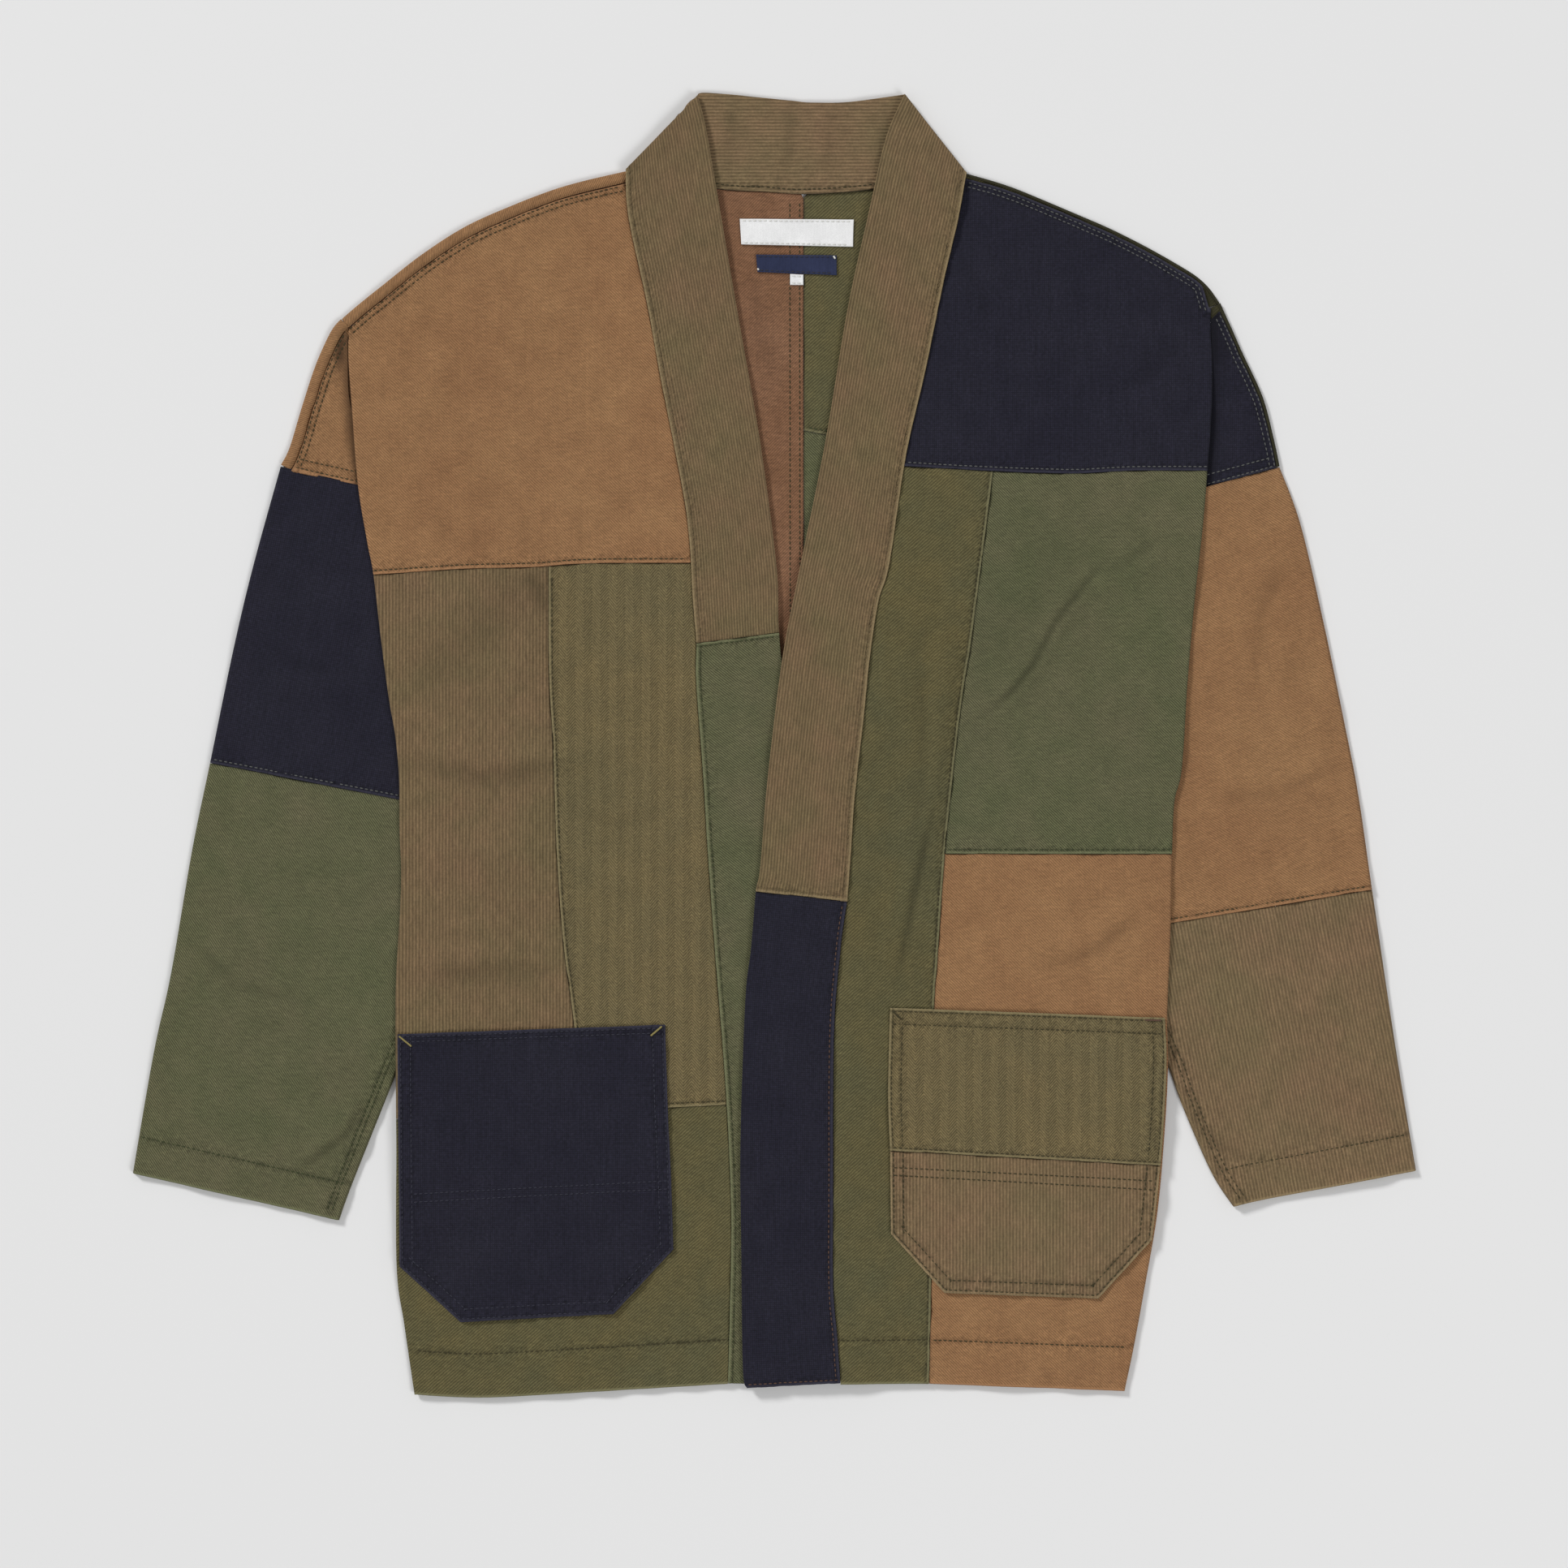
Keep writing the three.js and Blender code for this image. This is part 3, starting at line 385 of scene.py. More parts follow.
def shell(name, points, threads, marks, thick, materials, ring=False):
    """A wall of cloth about rows of points that run from the head down."""
    rows, columns = points.shape[:2]
    work = bmesh.new()
    bmesh.ops.create_grid(work, x_segments=columns - 1, y_segments=rows - 1, size=1)
    mesh = bpy.data.meshes.new(name)
    work.to_mesh(mesh)
    points[..., 2] = np.maximum(points[..., 2], thick / 2)
    mesh.vertices.foreach_set("co", (points[::-1] / 1000).ravel())
    corners = np.zeros(len(mesh.loops), np.int32)
    mesh.loops.foreach_get("vertex_index", corners)
    uv = mesh.uv_layers.new(name="threads")
    uv.data.foreach_set("uv", threads[::-1].reshape(-1, 2)[corners].ravel())
    for mark, values in zip(("wear", "painted_shade", "pucker"), marks):
        layer = mesh.attributes.new(mark, "FLOAT", "POINT")
        layer.data.foreach_set("value", values[::-1].ravel().astype(np.float32))
    if ring:
        work.clear()
        work.from_mesh(mesh)
        bmesh.ops.remove_doubles(work, verts=work.verts, dist=1e-6)
        work.to_mesh(mesh)
    work.free()
    mesh.shade_smooth()
    piece = bpy.data.objects.new(name, mesh)
    bpy.context.scene.collection.objects.link(piece)
    for material in materials:
        mesh.materials.append(material)
    wall = piece.modifiers.new("wall", "SOLIDIFY")
    wall.thickness = thick / 1000
    wall.offset = 0
    wall.material_offset = len(materials) - 1
    wall.material_offset_rim = 0
    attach(piece, "root")
    return piece


def stitches(name, lines, material, pitch=3.2, length=2.4, width=0.8):
    """Stitches of sewing thread along lines on the cloth, each a copy of one small rounded stitch."""
    one = bmesh.new()
    bmesh.ops.create_uvsphere(one, u_segments=6, v_segments=4, radius=1)
    form = np.array([v.co for v in one.verts]) * (length / 2, width / 2, width / 2.2)
    faces = [[v.index for v in f.verts] for f in one.faces]
    one.free()
    points = []
    for line in lines:
        at = np.concatenate([[0], np.cumsum(np.linalg.norm(np.diff(line, axis=0), axis=1))])
        for s in np.arange(pitch / 2, at[-1] - length / 2, pitch):
            a, b = (Vector([np.interp(s + half, at, line[:, k]) for k in range(3)])
                    for half in (-length / 2, length / 2))
            turn = np.array((b - a).to_track_quat("X", "Z").to_matrix())
            points.append(form @ turn.T + np.array((a + b) / 2))
    mesh = bpy.data.meshes.new(name)
    copies = [[i + len(form) * k for i in f] for k in range(len(points)) for f in faces]
    mesh.from_pydata((np.vstack(points) / 1000).tolist(), [], copies)
    mesh.shade_smooth()
    mesh.materials.append(material)
    piece = bpy.data.objects.new(name, mesh)
    bpy.context.scene.collection.objects.link(piece)
    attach(piece, "root")
    return piece


HEM = 20


def relief(p, edges, seams):
    """How far the seams lift or draw down the cloth, where it is worn and puckered, and how much painted
    shade darkens it in the grooves along them.
    """
    rise, wear, painted_shade, pucker = np.zeros((4, len(p)))
    for k, (side, edge) in enumerate(edges.items()):
        away, s = beside(p, edge)
        rows = seams.get(side)
        if rows is None:
            continue
        if not rows:
            rise -= 0.3 * np.exp(-((away / 1.3) ** 2))
            painted_shade = np.maximum(painted_shade, 0.9 * np.exp(-((away / 0.8) ** 2)))
            pucker = np.maximum(pucker, 0.6 * np.exp(-away / 4))
            uneven = 0.22 * ripple(s, s * 0, 11, 17 + k) + 0.3 * ripple(s, s * 0, 34, 5 + k)
            rise += uneven * np.exp(-away / 8)
            continue
        wear = np.maximum(wear, np.exp(-(((away - 0.5) / 0.7) ** 2)))
        for q in rows:
            pull = np.exp(-(((away - q) / 0.8) ** 2))
            if q > HEM:
                rise += 0.35 * (1 - ease((away - q + 1) / 2))
            rise -= 0.25 * pull
            pucker = np.maximum(pucker, np.exp(-np.abs(away - q) / 5))
            painted_shade = np.maximum(painted_shade, (0.55 + 0.25 * ripple(s, s * 0, 14, 3 + k)) * pull)
            rise += 0.42 * ripple(s, s * 0, 7, int(31 + 7 * k + q)) * np.exp(-np.abs(away - q) / 4)
        rise += 0.22 * np.exp(-(((away - 1.1) / 0.9) ** 2))
        rise += 0.4 * ripple(s, s * 0, 30, 61 + k) * np.exp(-away / 9)
    return rise, np.stack([wear, painted_shade, pucker])


def turned(start, out, up, lip):
    """The points of a folded edge, from where the cloth begins to turn to the end of its lip."""
    points = []
    for a in np.radians([30, 60, 90, 120, 150, 180]):
        rise = np.full(len(out), up * FOLD * (1 - math.cos(a)))
        points.append(start + np.column_stack([out * FOLD * math.sin(a), rise]))
    lip = np.broadcast_to(lip, len(start))
    if lip.max() > 0:
        back = np.column_stack([out, np.zeros(len(out))])
        for share in (0.1, 0.4, 1):
            points.append(points[5] - back * (lip * share)[:, None])
    return np.stack(points, axis=1)


def outward(edge, side):
    """The level direction away from a piece, along one of its sides."""
    d = np.gradient(edge, axis=0)
    d /= np.linalg.norm(d, axis=1)[:, None]
    return np.column_stack([-d[:, 1], d[:, 0]]) * side


def woven(grid, grain):
    """Where each point of a flat piece lies in its own weave."""
    c, s = math.cos(grain), math.sin(grain)
    x, y = grid[..., 0], grid[..., 1]
    return np.stack([x * c + y * s, y * c - x * s], axis=-1)


def sewn_rows(edges, seams, clear, free=()):
    """The lines along which a piece's seams are stitched, which stop short of its other edges."""
    outline = np.vstack([edges["head"], edges["right"], edges["foot"][::-1], edges["left"][::-1]])
    lines = []
    for side, rows in seams.items():
        for q in rows:
            line = moved(spaced(edges[side])[::4], q if side in ("head", "right") else -q)
            keep = inside(line, outline)
            for other, edge in edges.items():
                if other != side and other not in free:
                    keep &= beside(line, edge)[0] > clear
            if keep.sum() > 3:
                lines.append(line[keep])
    return lines


def raised(line, height, above):
    """A line on a piece, this far above the middle of its cloth."""
    return np.column_stack([line, height(line)[0] + above])


def panel(name, node, edges, level, materials, slot, cut, seams=None, folds=None, grain=0.0, thick=CLOTH,
          coarse=1.0, corners=((), ()), sewn=olive_thread, rests_on=("card",), area=None, soft=0.5, swell=70,
          follow=False, dusk=0.0, sewn_too=(), tight=1.0, creased=(), tacks=()):
    """One cut piece of cloth as it lies: its wall, its folded edges, its seams and its rows of stitches."""
    seams, folds = seams or {}, folds or {}
    head, foot, left, right = (edges[k] for k in ("head", "foot", "left", "right"))
    size_across = max(along(head)[-1], along(foot)[-1]) / coarse
    size_down = max(along(left)[-1], along(right)[-1]) / coarse
    u, v = stations(size_across, corners[0]), stations(size_down, corners[1])
    inset = [FOLD + CLOTH / 2 if k in folds else SEAM / 2 for k in ("head", "foot", "left", "right")]
    grid = net(head, foot, left, right, u, v, inset)
    seed = sum(map(ord, name))

    def height(p):
        rise, marks = (tight * part for part in relief(p, edges, seams))
        broad, small = ripple(*p.T, swell, seed), ripple(*p.T, swell / 3, seed + 1)
        rise += soft * (0.6 + 0.5 * broad + 0.2 * small)
        # Painted shade: the colour is darkened along each listed crease that lies low.
        for line, high, width in creased:
            marks[1] = np.maximum(marks[1], hollow(high) * crease(p, line, width))
        z = level(p[:, 0], p[:, 1]) + rise
        return np.maximum(z, 0) + thick / 2, marks

    flat = grid.reshape(-1, 2)
    z, marks = height(flat)
    shape = grid.shape[:2]
    points = np.dstack([grid, z.reshape(shape)])
    marks = marks.reshape(3, *shape)
    threads = woven(grid, grain)
    if follow:
        across, down = u[None] * size_across * coarse, -v[:, None] * size_down * coarse
        threads = np.stack(np.broadcast_arrays(across, down), axis=-1)
    # Painted shade: each folded edge is darkened at least as much as dusk says.
    for side, (up, lip) in folds.items():
        lip = np.asarray(lip(v) if callable(lip) else lip, float)
        if side == "head":
            bend = turned(points[0], outward(grid[0], 1), up, lip).transpose(1, 0, 2)[::-1]
            steps = np.linalg.norm(np.diff(np.concatenate([bend, points[:1]]), axis=0), axis=2)
            far = np.cumsum(steps[::-1], axis=0)[::-1]
            more = threads[:1] + np.stack([far * 0, far], axis=-1)
            points = np.concatenate([bend, points])
            threads = np.concatenate([more, threads])
            marks = np.concatenate([np.repeat(marks[:, :1], len(bend), axis=1), marks], axis=1)
            marks[1, : len(bend) + 1] = np.maximum(marks[1, : len(bend) + 1], dusk)
        else:
            sign, end = (-1, 0) if side == "left" else (1, -1)
            bend = turned(points[:, end], outward(grid[:, end], sign), up, lip)
            steps = np.diff(np.concatenate([points[:, end][:, None], bend], axis=1), axis=1)
            far = np.cumsum(np.linalg.norm(steps, axis=2), axis=1)
            more = threads[:, end][:, None] + np.stack([far * sign, far * 0], axis=-1)
            more_marks = np.repeat(marks[:, :, end][:, :, None], bend.shape[1], axis=2)
            more_marks[1] = np.maximum(more_marks[1], dusk)
            if sign < 0:
                points = np.concatenate([bend[:, ::-1], points], axis=1)
                threads = np.concatenate([more[:, ::-1], threads], axis=1)
                marks = np.concatenate([more_marks, marks], axis=2)
            else:
                points = np.concatenate([points, bend], axis=1)
                threads = np.concatenate([threads, more], axis=1)
                marks = np.concatenate([marks, more_marks], axis=2)
    piece = shell(name, points, threads, marks, thick, materials)
    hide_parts(node)
    lines = sewn_rows(edges, seams, 0.8, folds)
    lines += [bent(row, np.linspace(0, 1, len(row)))[::4] for row in sewn_too]
    if lines:
        lines = [raised(line, height, thick / 2 + 0.1) for line in lines]
        stitches(name + "_stitches", lines, sewn)
    for k, (tack_thread, (start, end)) in enumerate(tacks):
        line = raised(straight(start, end)[::20], height, thick / 2 + 0.25)
        tack = stitches(f"{name}_tack_{k + 1}", [line], tack_thread, pitch=0.9, length=1.6, width=1.3)


# Each crease is the line that it follows, how high or deep it is, and its width. The deep ones are
# also darkened with painted shade.
arm_creases = [
    (((-318, 68), (-296, 50), (-262, 44)), -1.2, 3.5),
    (((-360, -120), (-328, -150), (-288, -158)), -1.2, 3.5),
    (((-292, -262), (-262, -240), (-246, -212)), -1.5, 3),
    (((292, -258), (264, -238), (250, -206)), -1.5, 3),
    (((350, -12), (312, -30), (270, -34)), -1.1, 4),
    (((318, 118), (299, 80), (294, 30)), -1.0, 4),
    (((-325, 60), (-300, 40), (-262, 34)), 1.0, 9),
    (((-330, -60), (-300, -72), (-250, -66)), 0.9, 10),
    (((-362, -130), (-330, -160), (-290, -170)), 1.1, 10),
    (((-300, -262), (-270, -240), (-250, -215)), 1.3, 6),
    (((330, 60), (300, 44), (275, 48)), 1.0, 9),
    (((345, -20), (310, -40), (270, -44)), 1.0, 10),
    (((362, -130), (330, -150), (280, -146)), 0.9, 11),
    (((300, -255), (272, -235), (255, -205)), 1.4, 6),
    (((310, 120), (290, 80), (286, 30)), 0.9, 8),
]


def ring_sleeve(name, node, edges, material, seams, grain, sewn):
    """One length of a sleeve: an upper and an under layer joined by two folded sides."""
    head, foot, left, right = (edges[k] for k in ("head", "foot", "left", "right"))
    u, v = stations(along(head)[-1]), stations(along(left)[-1])
    grid = net(head, foot, left, right, u, v, [SEAM / 2, SEAM / 2, FOLD + CLOTH / 2, FOLD + CLOTH / 2])
    seed = sum(map(ord, name))

    def height(p):
        rise, marks = relief(p, edges, seams)
        rise += 0.5 * ripple(*p.T, 70, seed) + 0.12 * ripple(*p.T, 24, seed + 1)
        for line, high, width in arm_creases:
            rise += high * crease(p, line, width)
            # Painted shade: the deep creases are darkened as well as drawn down.
            marks[1] = np.maximum(marks[1], hollow(high) * crease(p, line, width))
        return PLY + CLOTH / 2 + 0.5 + np.maximum(rise, -0.5), marks

    z, marks = height(grid.reshape(-1, 2))
    shape = grid.shape[:2]
    top = np.dstack([grid, z.reshape(shape)])
    under = np.dstack([grid, np.full(shape, CLOTH / 2)])[:, ::-1]
    ends = []
    for end, sign in ((-1, 1), (0, -1)):
        out = outward(grid[:, end], sign)
        start = np.column_stack([grid[:, end], np.full(shape[0], PLY + CLOTH / 2)])
        ends.append(turned(start, out, -1, 0)[:, :5])
    rings = np.concatenate([top, ends[0], under, ends[1][:, ::-1]], axis=1)
    rings = np.concatenate([rings, rings[:, :1]], axis=1)
    first = woven(grid, grain)
    far = np.cumsum(np.linalg.norm(np.diff(rings, axis=1), axis=2), axis=1)
    far = np.concatenate([np.zeros((shape[0], 1)), far], axis=1)
    threads = np.stack([first[:, :1, 0] + far, np.broadcast_to(first[:, :1, 1], far.shape)], axis=-1)
    threads[:, : shape[1]] = first
    blank = rings.shape[1] - shape[1]
    marks = np.concatenate([marks.reshape(3, *shape), np.zeros((3, shape[0], blank))], axis=2)
    marks[:, :, -1] = marks[:, :, 0]
    piece = shell(name, rings, threads, marks, CLOTH, [material], ring=True)
    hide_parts(node)
    lines = [raised(line, height, CLOTH / 2 + 0.08) for line in sewn_rows(edges, seams, 1.2)]
    sewing = [stitches(name + "_stitches", lines, sewn)]


arm_left_outer = seam((-304, 171.5), (-321, 110), (-333, 59.5), (-347.5, -11), (-358.5, -64.5),
    (-371.5, -140.5), (-382, -188.5), (-395, -263.5))
arm_left_inner = seam((-231, 154), (-200, 110), (-178, 40), (-176, -44), (-190, -90), (-212, -150),
    (-234, -205), (-259.5, -269), (-268, -292.5))
arm_right_outer = seam((311, 171), (324, 135.5), (338, 76), (351.5, 11), (359.5, -30.5), (368, -89),
    (382.5, -186.5), (395, -262))
arm_right_inner = seam((243, 153), (215.5, 99), (195.5, 34), (194, -41), (201, -116), (221, -151),
    (241, -194.5), (251.5, -223), (269, -263), (282.5, -284))
armhole_left = seam((-304, 171.5), (-287, 167.5), (-256, 160.5), (-231, 154))
armhole_right = seam((243, 153), (266, 159), (311, 171))
elbow_left = spaced(seam((-347.5, -11), (-231.5, -33.5), (-176, -44)))
elbow_right = spaced(seam((201, -116), (244.5, -109.5), (368, -89)))

ring_sleeve("left_sleeve_upper", "sleeve_left_upper", {
    "head": span(armhole_left, -304, -231), "foot": elbow_left,
    "left": run(arm_left_outer, 171.5, -11), "right": run(arm_left_inner, 154, -44)},
    navy, {"head": (), "foot": (2.5,)}, -0.2, grey_thread)
ring_sleeve("left_sleeve_lower", "sleeve_left_lower", {
    "head": elbow_left, "foot": spaced(seam((-395, -263.5), (-268, -292.5))),
    "left": run(arm_left_outer, -11, -263.5), "right": run(arm_left_inner, -44, -292.5)},
    sage, {"head": (), "foot": (23,), "right": (6, 9)}, -0.2, green_thread)
ring_sleeve("right_sleeve_upper", "sleeve_right_upper", {
    "head": span(armhole_right, 243, 311), "foot": elbow_right,
    "left": run(arm_right_inner, 153, -116), "right": run(arm_right_outer, 171, -89)},
    brown, {"head": (), "foot": (2.5,)}, 0.2, olive_thread)
ring_sleeve("right_sleeve_lower", "sleeve_right_lower", {
    "head": elbow_right, "foot": spaced(seam((282.5, -284), (297, -280.5), (334.5, -273.5), (395, -262))),
    "left": run(arm_right_inner, -116, -284), "right": run(arm_right_outer, -89, -262)},
    pale_rib, {"head": (), "foot": (23,), "left": (6, 9)}, 0.2, olive_thread)

# The back is cut in two along its middle: brown twill on the left, and on the right olive twill with sage
# cloth sewn on below it. It lies on the card. Its head comes over the shoulders to the seams with the
# yokes, and at the sides it rises onto the sleeves. Two rows of stitches run down the middle seam.
# Shade is painted along a soft fold below the neck, and darker shade over the right shoulder's turned
# edge and the hollow by the right pleat.
shoulder_left = seam((-91.5, 352.5), (-132, 342.5), (-166.5, 329.5), (-192.5, 317.5), (-218, 301),
    (-239, 284.5), (-256, 271), (-267, 261.5))
shoulder_right = seam((118.5, 351), (145.5, 343), (183.5, 327.5), (218, 312), (252.5, 293), (266, 283),
    (274.5, 271.5))
side_left = seam((-262, 256.5), (-262, 238), (-259.5, 205.5), (-256, 160), (-250.5, 125.5), (-246.5, 104.5),
    (-242, 65.5), (-237, 28), (-233, 5), (-230.8, -20), (-230.6, -50), (-229.5, -86), (-232.5, -140.5),
    (-233, -176), (-232.5, -245), (-232.5, -321.5), (-228, -356), (-221.5, -399.5))
side_right = seam((267.8, 267.5), (268, 250), (268.8, 231.5), (268, 197), (266, 166.5), (263.5, 135.5),
    (258.5, 90), (254, 39), (250.5, -14.5), (246, -34.5), (244.5, -66), (243.5, -115), (241.5, -166),
    (242, -196), (240, -237.5), (235.5, -289), (227, -339), (221, -371.5), (215.5, -397.5))
centre_back = seam((18, 339), (18, 193.5), (18.5, -391))
sleeve_edge_left = seam((-264, 262), (-260.8, 208), (-231, 154), (-200, 110), (-178, 40), (-176, -44),
    (-190, -90), (-212, -150), (-234, -205), (-268, -292.5), (-330, -400))
sleeve_edge_right = seam((270, 272), (266.5, 205), (243, 153), (215.5, 99), (195.5, 34), (194, -41),
    (201, -116), (221, -151), (241, -194.5), (282.5, -284), (340, -400))
UNDER = 8
OVER_LEFT = 7
OVER_RIGHT = 2.2
SIDE_CLEAR = FOLD + CLOTH / 2 + UNDER + SEAM


def lift(x, y):
    """The body comes up onto the sleeves beside the armholes."""
    left = ease((256 - y) / 60) * ease((on(sleeve_edge_left, y) + 80 - x) / 80)
    right = ease((266 - y) / 60) * ease((x - on(sleeve_edge_right, y) + 80) / 80)
    return TUCK * np.where(x < 0, left, right)


def beyond(over):
    """How long the lip of the back is that comes round the shoulder, to a seam this far inward."""
    return over - FOLD - CLOTH / 2 - SEAM / 2


brown_inside = cloth("brown_twill_inside", "78563e", "7e5c45", "twill", 1.8, contrast=0.45, grainy=0.8,
    slant=-1.0)
back_side_left = np.vstack([[(-267, 261.5), (-255, 257.5), (-250.5, 238)],
    run(side_left, 222, -396.5)[::8] + (SIDE_CLEAR, 0)])
neck_left = seam((-91.5, 352.5), (-36.5, 342.5), (-5.5, 340.5), (18, 339))
panel("back_left_cloth", "back_left", {
    "head": spaced(shoulder_left[::-1]), "foot": straight(back_side_left[-1], (18.5, -391)),
    "left": spaced(back_side_left), "right": spaced(np.vstack([neck_left, run(centre_back, 338.9, -391)]))},
    lift, [brown_inside, brown], "brown_twill", (0.30, 0.79),
    sewn_too=[[(15.5, 334), (16, -391)], [(9.5, 334), (10, -391)]],
    creased=[(((-14.6, 296), (-9, 262), (-2.1, 222)), -1.4, 3.5)], folds={"head": (1, beyond(OVER_LEFT))},
    coarse=1.4, area=0.175, rests_on=("card", "left_sleeve_upper", "left_sleeve_lower"))
back_side_right = np.vstack([[(274.5, 271.5), (262.5, 268.2), (257.3, 246)],
    run(side_right, 222, 150)[::8] - (SIDE_CLEAR, 0)])
lower_side_right = run(side_right, 150, -394.5) - (SIDE_CLEAR, 0)
cross_seam = straight((18, 193.5), lower_side_right[0])
panel("back_right_upper_cloth", "back_right_upper", {
    "head": spaced(shoulder_right), "foot": cross_seam,
    "left": spaced(np.vstack([seam((118.5, 351), (60.5, 342), (18, 339)), run(centre_back, 338.9, 193.5)])),
    "right": spaced(back_side_right)},
    lift, [olive], "olive_twill", (0.27, 0.2), seams={"left": (), "foot": (2.5,)},
    folds={"head": (1, beyond(OVER_RIGHT - SEAM))}, coarse=1.4, area=0.04, sewn=green_thread, dusk=DARKEST,
    rests_on=("card", "right_sleeve_upper"), creased=[(((300, 300), (269, 276), (248, 258)), -6, 14)])
panel("back_right_lower_cloth", "back_right_lower", {
    "head": cross_seam, "foot": straight((18.5, -391), lower_side_right[-1]),
    "left": run(centre_back, 193.5, -391), "right": lower_side_right},
    lift, [sage], "sage_cloth", (0.25, 0.6), seams={"head": (), "left": ()}, coarse=1.6, area=0.13,
    rests_on=("card", "right_sleeve_upper", "right_sleeve_lower"))

# The collar's back is a strip of ribbed cotton folded double, with its ribs round the neck. It is sewn to
# the back with one row of stitches and joins the front bands at both ends. It lies flat on the card, and
# the shade of four soft hollows across it is painted into its colour.
panel("collar_back_cloth", "collar_back", {
    "head": spaced(seam((-47, 399.5), (-40.5, 401.5), (8, 397), (23, 395.5), (47, 396), (80, 400.5))),
    "foot": spaced(seam((-91.5, 352.3), (-36.5, 341.6), (-5.5, 339.4), (18, 338), (60.5, 341),
        (118, 350.8))),
    "left": straight((-47, 399.5), (-91.5, 353.5)), "right": straight((80, 400.5), (118, 352))},
    floor, [pale_rib], "ribbed_cloth", (0.21, 0.062), seams={"foot": (4,)}, thick=DOUBLE, area=0.0095,
    grain=math.pi / 2,
    creased=[(((x + 3, 396), (x, 374), (x - 1, 350)), -1.0, 4) for x in (-27, 8, 33, 66)])

# Three woven labels lie on the inside of the back below the neck, sewn along their heads and feet: a white
# one, a blue one, and a small white tab for the size, which is folded double. They are bare.
LABEL_HEIGHT = CLOTH + SEAM


def on_back(x, y):
    """The labels lie on the back's cloth."""
    return np.full(np.shape(x), LABEL_HEIGHT)


white = cloth("white_label", "ececec", "e8e8e8", "rib", 0.7, depth=0.05, contrast=0.05, grainy=0.05,
    streak=0.02, edge=0)
label_thread = thread("label_thread", "dadad5")
blue = cloth("blue_label", "2b314b", "2e344f", "rib", 0.7, depth=0.05, contrast=0.2, grainy=0.3, edge=0.3)
LABELS = (
    ("neck_label", "label_main", white, "white_label", (0.070, 0.017), 0.98, label_thread, (),
     ((-21.5, 324), (49, 323.5), (48.5, 306.5), (-20.5, 308))),
    ("small_label", "label_small", blue, "blue_label", (0.050, 0.012), 0.98, navy_thread,
     ((label_thread, ((36.4, 300.9), (37.8, 298.6))), (label_thread, ((-10.4, 293.2), (-9.2, 291.8)))),
     ((-11.5, 302), (38.5, 301.5), (38.5, 289), (-10.5, 291))),
    ("size_label", "size_tab", white, "white_label", (0.0102, 0.01), 0.6, label_thread, (),
     ((9.5, 290), (18, 289.6), (18, 283), (9.5, 283))),
)
for name, node, colour, slot, cut, share_seen, sewn, tacks, (a, b, c, d) in LABELS:
    panel(name, node, {
        "head": straight(a, b), "foot": straight(d, c), "left": straight(a, d), "right": straight(b, c)},
        on_back, [colour], slot, cut, thick=1.0, soft=0.25, swell=26, tight=0.2,
        seams={"head": (1.3,), "foot": (1.3,)}, sewn=sewn, tacks=tacks, area=cut[0] * cut[1] * share_seen,
        rests_on=("back_left_cloth", "back_right_upper_cloth"))

# The left front is pieced of four cotton cloths: a brown twill yoke, a ribbed and a herringbone panel below
# it side by side, and an olive twill one with the turned hem. Their seams are pressed flat and topstitched.
# It is sewn to the back along the shoulder, and down its side it is folded under to a narrow lip.
front_left = seam((-91.5, 354), (-89.5, 324), (-78.5, 272.5), (-69.5, 223.5), (-60, 176), (-53, 134.5),
    (-50, 89), (-48, 62.5), (-48, 39), (-44, -16), (-40.5, -71), (-36, -133.5), (-30, -209.5), (-26.5, -288),
    (-27.5, -353), (-28.5, -394))
front_right = seam((118, 352), (113, 324), (103.5, 282.5), (92.5, 229), (80.5, 176), (70.5, 110.5), (64, 89),
    (59, 57), (55, 19), (49.5, -30), (47, -65.5), (44.5, -96), (40.5, -125), (36.5, -179.5), (36, -266),
    (36, -331), (38.5, -363.5), (40.5, -393))
